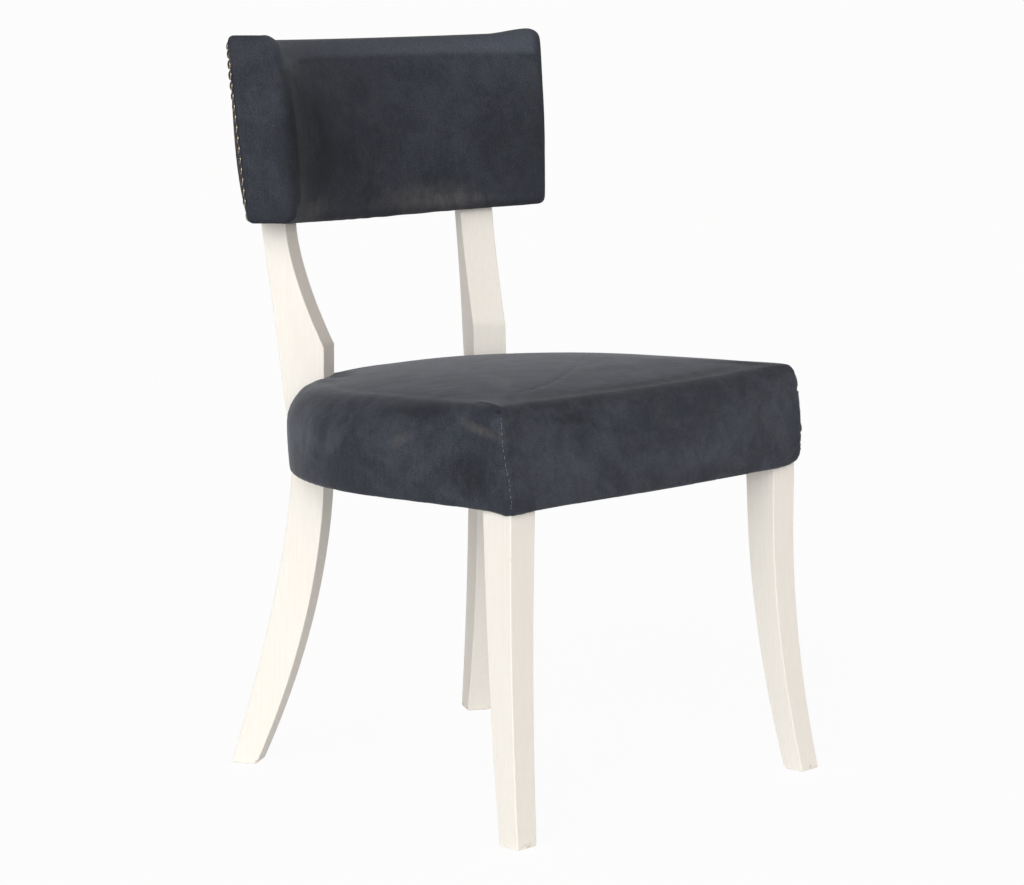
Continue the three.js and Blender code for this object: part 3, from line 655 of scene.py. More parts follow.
def velvet_material(name, settings, patches, sheen, contrast=1.0, top_edge=None):
    """Slate velvet with brushed nap, and worn and darker patches placed one by one."""
    material, tree, shader = new_material(name)
    place = tree.place()
    nap = tree.group("Velvet nap", Vector=place)
    if top_edge:
        height = tree.add("ShaderNodeSeparateXYZ", Vector=place).outputs["Z"]
        tree.feed(nap, "Lying", tree.ramp(height, top_edge - 0.004, top_edge + 0.006))
    brushed = tree.times(nap.outputs["Patches"], contrast)
    colour = tree.blend(brushed, settings.deep_colour, settings.light_colour)
    streaks = tree.times(nap.outputs["Streaks"], 0.40)
    colour = tree.blend(streaks, colour, settings.streak_colour)
    # Among the patches are painted shade in creases, under edges and by the back's fold, and a
    # painted highlight along a fold at the seat's near corner.
    for centre, size, turn, edge, tint, amount, *ragged in patches:
        mask = tree.group(
            "Brushed patch", Vector=place, Centre=centre, Size=size, Turn=turn, Edge=edge
        )
        if ragged:
            tree.feed(mask, "Ragged", ragged[0])
        broken = tree.math("ADD", tree.times(nap.outputs["Streaks"], 0.5), 0.6)
        strength = tree.times(mask.outputs["Mask"], broken)
        colour = tree.blend(tree.times(strength, amount), colour, tint)
    # a lighter colour along the top roll of the back, where an attribute marks it
    colour = tree.blend(tree.times(tree.attribute("brushed_up"), 0.80), colour, SLATE)
    rows = tree.ramp(nap.outputs["Rows"], 0.30, 0.70, 0.94, 1.06)
    flecks = tree.ramp(nap.outputs["Pile"], 0.30, 0.70, 0.74, 1.26)
    shade = tree.times(rows, flecks)
    grey = tree.add("ShaderNodeCombineColor", Red=shade, Green=shade, Blue=shade)
    rough = tree.math("ADD", nap.outputs["Pile"], tree.times(nap.outputs["Rows"], 0.6))
    height = tree.math("ADD", rough, tree.times(nap.outputs["Streaks"], 0.5))
    tree.feed_all(
        shader,
        Base_Color=tree.blend(1.0, colour, grey.outputs[0], "MULTIPLY"),
        Roughness=tree.ramp(nap.outputs["Patches"], 0.0, 1.0, 0.95, 0.82),
        Sheen_Weight=sheen,
        Sheen_Roughness=0.38,
        Sheen_Tint=(0.52, 0.545, 0.60, 1),
        Specular_IOR_Level=0.18,
        Normal=tree.bump(height, 0.7, 0.0003),
    )
    return material


def painted_wood_material(settings):
    """Lime-washed paint with the grain telegraphing through and bare wood at the rubbed edges."""
    material, tree, shader = new_material("Lime-washed wood")
    place = tree.place()
    grain = tree.group("Wood grain", Vector=place, Line_Scale=420.0, Stretch=0.035)
    wear = tree.group(
        "Edge wear", Vector=place, Edge=tree.attribute("rubbed_edge"), Amount=settings.wear
    )
    colour = settings.paint_colour
    for output, share, tint in (
        ("Lines", 0.55, settings.grain_colour),
        ("Figure", 0.30, settings.figure_colour),
        ("Pores", 0.25, settings.pore_colour),
    ):
        colour = tree.blend(tree.times(grain.outputs[output], share), colour, tint)
    height = tree.add("ShaderNodeSeparateXYZ", Vector=place).outputs["Z"]
    low = tree.ramp(height, 0.004, 0.016, 1.0, 0.0)
    scuff = tree.group("Edge wear", Vector=place, Edge=low, Amount=0.42, Scale=90.0)
    bare = tree.math("MAXIMUM", wear.outputs["Mask"], scuff.outputs["Mask"])
    raised = tree.times(grain.outputs["Lines"], -0.6)
    relief = tree.math("SUBTRACT", raised, tree.times(bare, 0.9))
    tree.feed_all(
        shader,
        Base_Color=tree.blend(tree.times(bare, 0.55), colour, settings.bare_colour),
        Roughness=tree.ramp(grain.outputs["Lines"], 0.0, 1.0, 0.48, 0.62),
        Specular_IOR_Level=0.4,
        Normal=tree.bump(relief, 0.5, 0.00025),
    )
    return material


def bare_wood_material(name, colour, dark, scale, across=False):
    """Planed wood or the face of plywood, for what the covers hide."""
    material, tree, shader = new_material(name)
    place = tree.place()
    if across:
        turned = tree.add("ShaderNodeMapping", Vector=place, Rotation=(0, math.pi / 2, 0))
        place = turned.outputs["Vector"]
    grain = tree.group("Wood grain", Vector=place, Line_Scale=scale)
    tone = tree.blend(tree.times(grain.outputs["Lines"], 0.6), colour, dark)
    tree.feed_all(
        shader,
        Base_Color=tree.blend(tree.times(grain.outputs["Pores"], 0.5), tone, dark),
        Roughness=tree.ramp(grain.outputs["Figure"], 0.0, 1.0, 0.58, 0.78),
        Normal=tree.bump(grain.outputs["Lines"], 0.35, 0.0002),
    )
    return material


def foam_material():
    """Cut polyurethane foam: pale, with its cells as fine pits."""
    material, tree, shader = new_material("Cut foam")
    place = tree.place()
    cells = tree.add("ShaderNodeTexVoronoi", Vector=place, Scale=900.0)
    tone = tree.noise(place, 22.0)
    tree.feed_all(
        shader,
        Base_Color=tree.blend(tone, (0.80, 0.72, 0.48, 1), (0.72, 0.66, 0.50, 1)),
        Roughness=tree.ramp(tone, 0.3, 0.7, 0.9, 1.0),
        Normal=tree.bump(cells.outputs["Distance"], 0.7, 0.0005),
    )
    return material


def steel_material():
    """Zinc-plated steel with stains and rubbed patches."""
    material, tree, shader = new_material("Zinc-plated steel")
    place = tree.place()
    stains = tree.noise(place, 240.0, 4.0)
    wear = tree.group("Edge wear", Vector=place, Edge=0.4, Amount=0.6, Scale=300.0)
    tone = tree.blend(stains, (0.55, 0.56, 0.58, 1), (0.38, 0.39, 0.42, 1))
    tree.feed_all(
        shader,
        Base_Color=tree.blend(wear.outputs["Mask"], tone, (0.28, 0.24, 0.20, 1)),
        Metallic=1.0,
        Roughness=tree.ramp(stains, 0.3, 0.7, 0.32, 0.48),
    )
    return material


def nail_material(settings):
    """Nail heads of antiqued bronze: painted shade with tarnish in the middles,
    and a painted highlight round the rim, broken up like wear.
    """
    material, tree, shader = new_material("Antiqued nail heads")
    place = tree.place()
    rim = tree.attribute("rubbed_edge")
    wear = tree.group("Edge wear", Vector=place, Edge=rim, Amount=1.15, Scale=420.0)
    # a painted highlight round each rim, broken up by noise like wear
    rubbed = wear.outputs["Mask"]
    tarnish = tree.noise(place, 600.0, 4.0, 0.6)
    # painted shade in the dark middles, mixed with tarnish
    dark = tree.blend(tarnish, settings.centre_shade_colour, (0.10, 0.065, 0.045, 1))
    tree.feed_all(
        shader,
        Base_Color=tree.blend(rubbed, dark, settings.rim_highlight_colour),
        Metallic=tree.ramp(rubbed, 0.0, 1.0, 0.75, 1.0),
        Roughness=tree.ramp(rubbed, 0.0, 1.0, 0.46, 0.26),
        Normal=tree.bump(tarnish, 0.3, 0.0002),
    )
    return material


def thread_material():
    """Waxed sewing thread, lighter than the velvet."""
    material, tree, shader = new_material("Seam thread")
    strands = tree.noise(tree.place(), 2600.0, 3.0, 0.6)
    tree.feed_all(
        shader,
        Base_Color=tree.blend(strands, (0.10, 0.11, 0.13, 1), (0.20, 0.21, 0.235, 1)),
        Roughness=tree.ramp(strands, 0.3, 0.7, 0.55, 0.75),
        Normal=tree.bump(strands, 0.5, 0.0001),
    )
    return material


def dust_cloth_material():
    """Black non-woven cambric: matted fibres and a little dust."""
    material, tree, shader = new_material("Black cambric")
    place = tree.place()
    fibres = tree.noise(place, 520.0, 4.0, 0.7, 0.8)
    lint = tree.ramp(tree.noise(place, 130.0, 4.0, 0.7), 0.62, 0.74)
    tone = tree.blend(fibres, (0.010, 0.010, 0.011, 1), (0.028, 0.028, 0.030, 1))
    tree.feed_all(
        shader,
        Base_Color=tree.blend(tree.times(lint, 0.35), tone, (0.09, 0.085, 0.08, 1)),
        Roughness=tree.ramp(fibres, 0.3, 0.7, 0.85, 1.0),
        Normal=tree.bump(fibres, 0.6, 0.0003),
    )
    return material


# Square sticks: front legs and rear posts


def stack_sections(name, sections):
    """A square stick grown up from a plane, with one extrusion for each section above it."""
    deselect()
    x, y, z, width, depth = sections[0]
    bpy.ops.mesh.primitive_plane_add(size=1, location=(0, 0, 0))
    stick = bpy.context.object
    stick.name = name
    edit_all()
    bpy.ops.transform.resize(value=(width, depth, 1), center_override=(0, 0, 0))
    bpy.ops.transform.translate(value=(x, y, z))
    for nx, ny, nz, wide, deep in sections[1:]:
        bpy.ops.mesh.extrude_region_move(
            TRANSFORM_OT_translate={"value": (nx - x, ny - y, nz - z)}
        )
        bpy.ops.transform.resize(
            value=(wide / width, deep / depth, 1), center_override=(nx, ny, nz)
        )
        x, y, z, width, depth = nx, ny, nz, wide, deep
    close_edit()
    return stick


def bevel_where(piece, wanted, offset, segments):
    """Bevels the edges that wanted picks."""
    make_active(piece)
    bpy.ops.object.mode_set(mode="EDIT")
    select_where(piece, "edges", wanted)
    bpy.ops.mesh.bevel(offset=offset, segments=segments, profile=0.5, affect="EDGES")
    bpy.ops.object.mode_set(mode="OBJECT")


def is_sharp(edge):
    return len(edge.link_faces) == 2 and edge.calc_face_angle() > SHARP_ANGLE


def mark_rounded(piece):
    """Writes rubbed_edge, 1 on vertices whose faces are all narrow, which a bevel made."""
    body = bmesh.new()
    body.from_mesh(piece.data)
    values = []
    for vertex in body.verts:
        sides = [min(edge.calc_length() for edge in face.edges) for face in vertex.link_faces]
        values.append(1.0 if max(sides) < NARROW_FACE else 0.0)
    body.free()
    write_attribute(piece, "rubbed_edge", values)


def round_and_shade(piece, foot_chamfer, ease):
    """Chamfers the sole, eases the long edges and the top, and marks what was rounded."""
    low = min(v.co.z for v in piece.data.vertices)
    top_of = lambda edge: max(v.co.z for v in edge.verts)
    at_sole = lambda edge: is_sharp(edge) and top_of(edge) < low + SOLE_MARGIN
    above_sole = lambda edge: is_sharp(edge) and top_of(edge) > low + foot_chamfer * 0.9
    bevel_where(piece, at_sole, foot_chamfer, 2)
    bevel_where(piece, above_sole, ease, 4)
    mark_rounded(piece)
    smooth_by_angle(piece, 32)
    apply_modifier(piece, "WEIGHTED_NORMAL", mode="FACE_AREA", weight=60, keep_sharp=True)


def leg_section(sign, height, grow=0.0):
    sweep = max(0.0, 1 - height / LEG_STRAIGHT_FROM) ** LEG_CURVE
    taper = min(1.0, height / RAIL_BOTTOM)
    dress = LEG_DRESS * smooth(height, RAIL_BOTTOM, RAIL_TOP)
    width = mix(LEG_FOOT_WIDTH, LEG_WIDTH, taper)
    front = -LEG_FRONT_Y - LEG_KICK * sweep + dress
    rear = -LEG_FRONT_Y - LEG_KICK * sweep + mix(LEG_FOOT_DEPTH, LEG_DEPTH, taper)
    outer = LEG_OUTER_X + LEG_SPLAY * sweep
    return (
        sign * (outer - width / 2),
        (front + rear) / 2 - REARWARD,
        height,
        width + 2 * grow,
        rear - front + 2 * grow,
    )


def post_front(height):
    if height < RAIL_BOTTOM:
        return POST_KICK * (1 - height / RAIL_BOTTOM) ** POST_CURVE
    if height <= KNEE_HEIGHT:
        return 0.0
    share = min(1.0, (height - KNEE_HEIGHT) / (PANEL_BOTTOM - KNEE_HEIGHT))
    lean = PANEL_LEAN * max(0.0, height - PANEL_BOTTOM)
    return POST_SETBACK * (1 - (1 - share) ** NECK_CURVE) + lean


def post_rear(height):
    if height < RAIL_BOTTOM:
        kick = POST_KICK + POST_FOOT_DEPTH - POST_SEAT_DEPTH
        return POST_SEAT_DEPTH + kick * (1 - height / RAIL_BOTTOM) ** POST_REAR_CURVE
    share = min(1.0, (height - RAIL_BOTTOM) / (PANEL_BOTTOM - RAIL_BOTTOM))
    travel = POST_SETBACK + POST_TOP_DEPTH - POST_SEAT_DEPTH
    lean = PANEL_LEAN * max(0.0, height - PANEL_BOTTOM)
    return POST_SEAT_DEPTH + travel * share**NECK_REAR_CURVE + lean


def post_middle(height):
    if height < KNEE_HEIGHT:
        return POST_SPLAY * (1 - height / KNEE_HEIGHT)
    share = min(1.0, (height - KNEE_HEIGHT) / (PANEL_BOTTOM - KNEE_HEIGHT))
    return -POST_DRAW * share**NECK_CURVE


def post_section(sign, height, grow=0.0, behind=0.0):
    width = mix(POST_FOOT_WIDTH, POST_WIDTH, min(1.0, height / RAIL_BOTTOM)) + 2 * grow
    front = post_front(height) - grow
    rear = post_rear(height) + grow + behind
    return (sign * post_middle(height), (front + rear) / 2, height, width, rear - front)


def place_post(piece, sign):
    piece.rotation_euler = (0, 0, -sign * POST_TURN)
    piece.location = (sign * POST_X, POST_Y - REARWARD, 0)
    apply_place(piece)


def steps_between(low, high, count):
    """count + 1 values in even steps from low to high."""
    return [mix(low, high, i / count) for i in range(count + 1)]


def post_cutter(name, sign, low, high, grow, behind=0.0):
    heights = steps_between(low, high, 8)
    cutter = stack_sections(name, [post_section(sign, h, grow, behind) for h in heights])
    place_post(cutter, sign)
    return cutter


def leg_cutter(name, sign, low, high, grow):
    heights = steps_between(low, high, 4)
    return stack_sections(name, [leg_section(sign, h, grow) for h in heights])


# Padding: soft bodies swollen by cloth


def swell(piece, held, pressure, limit):
    """Blows the piece up as cloth from inside, holding the vertices that held marks, and keeps
    every vertex within limit of where it started."""
    start = coordinates(piece)
    group = piece.vertex_groups.new(name="held")
    step = 0.25
    for value in (step, 2 * step, 3 * step, 4 * step):
        chosen = np.nonzero((held > value - step) & (held <= value))[0]
        if len(chosen):
            group.add(chosen.tolist(), value, "REPLACE")
    cloth = piece.modifiers.new("Swell", "CLOTH")
    settings = cloth.settings
    settings.quality = 5
    settings.mass = 0.3
    settings.air_damping = 2.0
    settings.tension_stiffness = settings.compression_stiffness = 30.0
    settings.shear_stiffness = 15.0
    settings.bending_stiffness = 1.2
    settings.tension_damping = settings.compression_damping = settings.shear_damping = 8.0
    settings.use_pressure = True
    settings.uniform_pressure_force = pressure
    settings.effector_weights.gravity = 0.0
    settings.vertex_group_mass = "held"
    cloth.point_cache.frame_start = 1
    cloth.point_cache.frame_end = SWELL_FRAMES
    scene = bpy.context.scene
    for number in range(1, SWELL_FRAMES + 1):
        scene.frame_set(number)
    shape = piece.evaluated_get(bpy.context.evaluated_depsgraph_get())
    moved = np.empty(len(start) * 3)
    shape.data.vertices.foreach_get("co", moved)
    moved = moved.reshape(-1, 3) - start
    length = np.linalg.norm(moved, axis=1, keepdims=True)
    moved *= np.minimum(1.0, limit / np.maximum(length, 1e-9))
    piece.modifiers.remove(cloth)
    piece.vertex_groups.clear()
    scene.frame_set(1)
    set_coordinates(piece, start + moved)


def snug_padding(name, rings_at, voxel):
    """Padding remeshed in even faces on the shape that START_INSET leaves, ready to swell."""
    start = lofted("start", rings_at(START_INSET))
    padding = lofted(name, rings_at(START_INSET))
    apply_modifier(padding, "REMESH", mode="VOXEL", voxel_size=voxel)
    snap_to(padding, start)
    discard(start)
    return padding


def fill_shape(padding, rings_at):
    """Subdivides the swollen padding and brings it out to its shape where it had drawn in."""
    subdivide_once(padding)
    shape = lofted("shape", rings_at(0.0))
    snap_to(padding, shape, DEEPEST_INSIDE)
    discard(shape)
    relax(padding, 1)


def cut_all(piece, cutters):
    for cutter in cutters:
        cut(piece, cutter)
        discard(cutter)


def relax(piece, rounds):
    apply_modifier(piece, "SMOOTH", iterations=rounds, factor=0.5)


def subdivide_once(piece):
    apply_modifier(piece, "SUBSURF", levels=1, render_levels=1)


# Seat


def half_seat_outline(arc_steps, side_steps, front_steps):
    """From the middle of the rear round by the left side to the middle of the front: each point
    with the way that an inset moves it, and whether it lies on the front edge."""
    corner = math.atan2(-SEAT_CORNER_Y, -SEAT_CORNER_X) + 2 * math.pi
    reach = math.hypot(SEAT_CORNER_X, SEAT_CORNER_Y)
    tangent = corner - math.acos(SEAT_RADIUS / reach)
    points = []
    for i in range(arc_steps + 1):
        angle = mix(math.pi / 2, tangent, i / arc_steps)
        normal = Vector((math.cos(angle), math.sin(angle)))
        points.append((normal * SEAT_RADIUS, normal, False))
    side_normal = points[-1][1]
    start = points[-1][0]
    end = Vector((-SEAT_CORNER_X, -SEAT_CORNER_Y))
    for i in range(1, side_steps):
        points.append((start.lerp(end, i / side_steps), side_normal, False))
    for i in range(front_steps + 1):
        x = mix(-SEAT_CORNER_X, 0, i / front_steps)
        share = x / SEAT_CORNER_X
        normal = Vector((2 * SEAT_BOW * share / SEAT_CORNER_X, -1)).normalized()
        if i == 0:
            normal = (normal + side_normal) / (1 + normal.dot(side_normal))
        at = Vector((x, -SEAT_CORNER_Y - SEAT_BOW * (1 - share * share)))
        points.append((at, normal, True))
    return points


def seat_outline(arc_steps=56, side_steps=22, front_steps=28):
    half = half_seat_outline(arc_steps, side_steps, front_steps)
    flip = lambda v: Vector((-v.x, v.y))
    return half + [(flip(at), flip(n), front) for at, n, front in reversed(half[1:-1])]


def corner_draw(x, y, height):
    """How far the top of the front is drawn back near the left corner."""
    reach = math.hypot(x + SEAT_CORNER_X, y + SEAT_CORNER_Y)
    drawn = CORNER_DRAW * math.exp(-((reach / CORNER_DRAW_REACH) ** 2))
    return drawn * smooth(height, CORNER_DRAW_FROM, CORNER_DRAW_FULL)


def seat_rings(outline, lowest, inset_all):
    """Rings of points up the sides of the seat, over its rolled edge and in over the crown."""

    def edge_height(at):
        return mix(EDGE_REAR, EDGE_FRONT, smooth(-at.y, -SEAT_RADIUS, SEAT_CORNER_Y))

    def edge_roll(at, front):
        if not front:
            return mix(ROLL_REAR, ROLL_SIDE, smooth(-at.y, 0, SEAT_CORNER_Y))
        corner = (abs(at.x) / SEAT_CORNER_X) ** 6
        return mix(ROLL_FRONT, ROLL_CORNER, corner)

    def ring(height_of, inset_of):
        made = []
        for at, normal, front in outline:
            height = height_of(at, front)
            rise = (height - COVER_BOTTOM) / (edge_height(at) - COVER_BOTTOM)
            inset = inset_of(at, front) + inset_all - BAND_BULGE * math.sin(math.pi * rise)
            place = at - normal * inset
            batter = FRONT_BATTER * rise if front else 0.0
            batter += corner_draw(at.x, at.y, height)
            made.append(Vector((place.x, place.y + batter - REARWARD, height)))
        return made

    def side_ring(share):
        top_of = lambda at, front: edge_height(at) - edge_roll(at, front) - inset_all
        height_of = lambda at, front: mix(lowest, top_of(at, front), share)
        return ring(height_of, lambda at, front: 0.0)

    def roll_ring(angle):
        down, inward = 1 - math.sin(angle), 1 - math.cos(angle)
        return ring(
            lambda at, front: edge_height(at) - edge_roll(at, front) * down - inset_all,
            lambda at, front: edge_roll(at, front) * inward,
        )

    rings = [side_ring(share) for share in steps_between(0.0, 1.0, SIDE_RINGS)]
    rings += [roll_ring(angle) for angle in steps_between(0.0, math.pi / 2, ROLL_RINGS)[1:]]
    edge = rings[-1]
    middle = Vector((0, -REARWARD, mix(EDGE_REAR, EDGE_FRONT, 0.5) - inset_all))
    for i in range(1, TOP_RINGS):
        share = 1 - i / TOP_RINGS
        ring_points = [middle.lerp(p, share) for p in edge]
        for at in ring_points:
            at.z += SEAT_CROWN * (1 - share * share)
        rings.append(ring_points)
    return rings


def inset_plan(outline, inset):
    return [(p.x, p.y - REARWARD) for p in (at - normal * inset for at, normal, _ in outline)]


def plan_plate(name, plan, low, high):
    count = len(plan)
    points = [(x, y, low) for x, y in plan] + [(x, y, high) for x, y in plan]
    faces = [(i, (i + 1) % count, count + (i + 1) % count, count + i) for i in range(count)]
    faces += [tuple(reversed(range(count))), tuple(range(count, 2 * count))]
    piece = piece_from(name, points, faces)
    recalculate_normals(piece)
    return piece


def front_corner(sign):
    """The corner seam of the seat from its top edge down to the hem."""
    path = []
    for height in steps_between(SEAM_TOP, COVER_BOTTOM, 11):
        rise = (height - COVER_BOTTOM) / (EDGE_FRONT - COVER_BOTTOM)
        lean = FRONT_BATTER * rise - SEAM_FORWARD
        roll = ROLL_CORNER * max(0.0, 1 - (EDGE_FRONT - height) / ROLL_CORNER)
        out = BAND_BULGE * math.sin(math.pi * rise) - 0.7 * roll
        aside = SEAM_LEAN * (1 - rise) ** 2 if sign < 0 else 0.0
        x = sign * (SEAT_CORNER_X + out + SEAM_LEAN_WAY[0] * aside)
        y = -SEAT_CORNER_Y - out + lean
        y += corner_draw(x, y, height) + SEAM_LEAN_WAY[1] * aside
        path.append((x, y - REARWARD, height))
    return path


def hem_lift(points):
    """How far the hem is drawn up at the far front corner."""
    behind = np.clip(points[:, 1] + SEAT_CORNER_Y + REARWARD, 0, None)
    share = np.clip((points[:, 0] - HEM_LIFT_FROM) / HEM_LIFT_WIDTH, 0, 1)
    rise = HEM_LIFT * (0.25 * share**2 + 0.75 * share**6) * bell(behind, HEM_LIFT_DEPTH)
    return rise * smooth(points[:, 2], HEM_LIFT_TOP, RAIL_BOTTOM)


def draw_in_corners(points, amount):
    """Draws the front corners of a body in under the cover, by a share of their distance."""
    for sign in (-1, 1):
        near, _, _ = distance_to_path(points, front_corner(sign))
        points[:, :2] *= 1 - amount * bell(near, width=0.024)[:, None]


def ease_top(piece):
    """Softens the top and its rolled edge, leaves the sides, the hem and the far front corner as
    they are, and raises that corner's top."""
    before = coordinates(piece)
    relax(piece, 16)
    eased = coordinates(piece)
    share = smooth(before[:, 2], 0.462, 0.476)
    reach = np.hypot(before[:, 0] - SEAT_CORNER_X, before[:, 1] + SEAT_CORNER_Y + REARWARD)
    share *= 1 - bell(reach, width=0.026, height=0.9)
    eased = before + share[:, None] * (eased - before)
    raised = smooth(before[:, 2], 0.455, 0.480)
    eased[:, 2] += FAR_CORNER_RISE * raised * bell(reach, width=0.105)
    set_coordinates(piece, eased)


def hem_lift_at(sign, height):
    """The lift of the hem on one corner seam, at a height."""
    return float(hem_lift(np.array([[sign * SEAT_CORNER_X, -SEAT_CORNER_Y - REARWARD, height]]))[0])


def sculpt_corner_seams(points, normals, move):
    """A groove down each front corner with a shoulder beside it, and puckers across it."""
    for sign in (-1, 1):
        near, along, _ = distance_to_path(points, front_corner(sign))
        below_edge = smooth(along, 0.004, 0.012)
        groove = bell(near, width=0.0022, height=-0.0016)
        shoulder = bell(near, width=0.0036, height=0.0011, at=0.0062)
        if sign < 0:
            waves = 0.0005 * np.sin(2 * math.pi * along / 0.0085)
        else:
            waves = np.zeros(len(points))
            for level in (0.461, 0.407):
                above = points[:, 2] - level
                waves += bell(above, width=0.006, height=0.0011)
                waves -= bell(above + 0.006, width=0.0024, height=0.0012)
        waves *= bell(near, width=0.012)
        move += normals * ((groove + shoulder + waves) * below_edge)[:, None]


def sculpt_creases(points, normals, move):
    """The crease over the top, the fold at the near corner and the folds in the hem."""
    from_near_corner = [
        (-0.176, -0.206, 0.4865),
        (-0.1214, -0.1952, 0.4875),
        (-0.0721, -0.1743, 0.49),
        (-0.020, -0.1420, 0.4925),
        (0.0234, -0.1123, 0.4941),
        (0.0852, -0.0624, 0.4925),
    ]
    near, along, total = distance_to_path(points, from_near_corner)
    fade = np.sin(math.pi * np.clip(along / total, 0.02, 0.98)) ** 0.5
    dip = bell(near, width=0.0026, height=-0.0004)
    lip = bell(near, width=0.006, height=0.0002, at=0.008)
    move += normals * ((dip + lip) * fade)[:, None]

    # the fold that tucks the top over the side at the near corner, and the hollow under it
    over = [(-0.2285, -0.200, 0.4810), (-0.2310, -0.220, 0.4812), (-0.2380, -0.2455, 0.4808)]
    under = [(-0.2420, -0.232, 0.4780), (-0.2445, -0.243, 0.4762), (-0.2430, -0.250, 0.4745)]
    above, _, _ = distance_to_path(points, over)
    below, _, _ = distance_to_path(points, under)
    move += normals * bell(above, width=0.0032, height=0.0013)[:, None]
    move -= normals * bell(below, width=0.0036, height=0.0018)[:, None]

    # the hem sags at the near corner and is folded up at the far one
    reach = np.hypot(points[:, 0] + 0.241, points[:, 1] + 0.262)
    sag = bell(reach, width=0.028, height=0.0034) - bell(reach, width=0.009, height=0.0020)
    move[:, 2] -= sag * smooth(points[:, 2], 0.400, RAIL_BOTTOM)
    move[:, 2] += hem_lift(points)
    for fold in (
        [(0.206, -0.2665, 0.3700), (0.224, -0.2655, 0.3745), (0.2435, -0.2635, 0.3850)],
        [(0.219, -0.2665, 0.3890), (0.230, -0.2655, 0.3930), (0.2425, -0.2635, 0.3990)],
    ):
        near, _, _ = distance_to_path(points, fold)
        move -= normals * bell(near, width=0.0022, height=0.0013)[:, None]


def sculpt_gathers(points, normals, move):
    """Slack that is drawn towards the posts in nine small folds, and stands up round them."""
    for sign in (-1, 1):
        offset = points[:, :2] - np.array([sign * POST_PASS_X, GATHER_Y])
        reach = np.hypot(offset[:, 0], offset[:, 1])
        turn = np.arctan2(offset[:, 1], offset[:, 0])
        ripple = 0.0007 * np.sin(9 * turn + sign) * bell(reach, width=0.020, at=0.042)
        top = smooth(points[:, 2], 0.440, 0.462)
        move += normals * (ripple * top)[:, None]
        move[:, 2] += bell(reach, width=0.016, height=0.0012, at=0.034) * top


def sculpt_seat(piece):
    points = coordinates(piece)
    normals = vertex_normals(piece)
    move = np.zeros_like(points)
    for sculpt in (sculpt_corner_seams, sculpt_creases, sculpt_gathers):
        sculpt(points, normals, move)
    set_coordinates(piece, points + move)


def colour_property(name, description, default):
    return bpy.props.FloatVectorProperty(
        name=name, description=description, size=4, subtype="COLOR", default=(*default, 1)
    )


def number_property(name, description, default, **limits):
    return bpy.props.FloatProperty(name=name, description=description, default=default, **limits)


def length_property(name, description, default):
    return number_property(name, description, default, unit="LENGTH")


class ChairSeatSettings(bpy.types.PropertyGroup):
    deep_colour: colour_property(
        "Deep pile", "Colour of the velvet where the pile leans away", (0.0282, 0.0322, 0.0436)
    )
    light_colour: colour_property(
        "Light pile", "Colour of the velvet where the pile is brushed up", (0.0446, 0.0505, 0.0665)
    )
    streak_colour: colour_property(
        "Streaks", "Brownish cast of the streaks in the pile", (0.041, 0.044, 0.051)
    )
    sheen: number_property("Sheen", "Strength of the seat's sheen", 0.42, min=0, max=1)
    back_sheen: number_property("Sheen of the back", "Strength of its sheen", 0.15, min=0, max=1)
    voxel: length_property("Voxel", "Size of the faces that the padding is simulated with", 0.0055)
    pressure: number_property("Pressure", "Pressure of the padding against its cover", 4.0)
    swell_limit: length_property("Swell", "How far the padding may swell", 0.003)


class ChairBackSettings(bpy.types.PropertyGroup):
    voxel: length_property("Voxel", "Size of the faces that the padding is simulated with", 0.0045)
    pressure: number_property("Pressure", "Pressure of the padding against its cover", 4.0)
    swell_limit: length_property("Swell", "How far the padding may swell", 0.004)


class ChairWoodSettings(bpy.types.PropertyGroup):
    paint_colour: colour_property("Paint", "Colour of the lime wash", (0.85, 0.828, 0.782))
    grain_colour: colour_property(
        "Grain lines", "Colour of the fine grain that shows through the wash", (0.79, 0.755, 0.695)
    )
    figure_colour: colour_property(
        "Figure", "Colour of the broad bands of the grain", (0.84, 0.80, 0.735)
    )
    pore_colour: colour_property("Pores", "Colour of the open pores", (0.66, 0.60, 0.53))
    bare_colour: colour_property(
        "Bare wood", "Colour of the wood where the wash is rubbed off", (0.50, 0.36, 0.27)
    )
    wear: number_property("Wear", "How much of the edges is rubbed", 0.35, min=0, max=2)
    ease: length_property("Eased edge", "Radius of the long edges", 0.0013)
    foot_chamfer: length_property("Foot chamfer", "Chamfer round the soles", 0.003)


class ChairNailSettings(bpy.types.PropertyGroup):
    pitch: length_property("Pitch", "From one head to the next", 0.012)
    diameter: length_property("Head", "Diameter of a nail head", 0.0112)
    height: length_property("Height", "Height of a nail head", 0.0020)
    # a painted highlight round the rims of the heads
    rim_highlight_colour: colour_property("Rim", "Colour of the rubbed rims", (0.46, 0.42, 0.36))
    # painted shade in the middles of the heads
    centre_shade_colour: colour_property("Centre", "Colour of the dark middles", (0.060, 0.038, 0.026))


class ChairStageSettings(bpy.types.PropertyGroup):
    floor_colour: colour_property("Floor", "Colour of the floor", (0.93, 0.93, 0.93))
    sky: number_property("Surroundings", "Strength of the even light all round", 0.25)
    key: number_property("Key light", "Strength of the light from the left", 1.82)
    fill: number_property("Fill light", "Strength of the low light from the camera", 0.95)
    top: number_property("Top light", "Strength of the light from overhead", 0.12)
    side: number_property("Side light", "Strength of the light from the front right", 0.60)
    floor_glow: number_property(
        "Floor glow", "How far the camera sees the floor lifted to white", 0.95, min=0, max=1
    )
    floor_bounce: number_property(
        "Floor bounce", "Share of white light that the floor throws back up", 0.22, min=0, max=1
    )


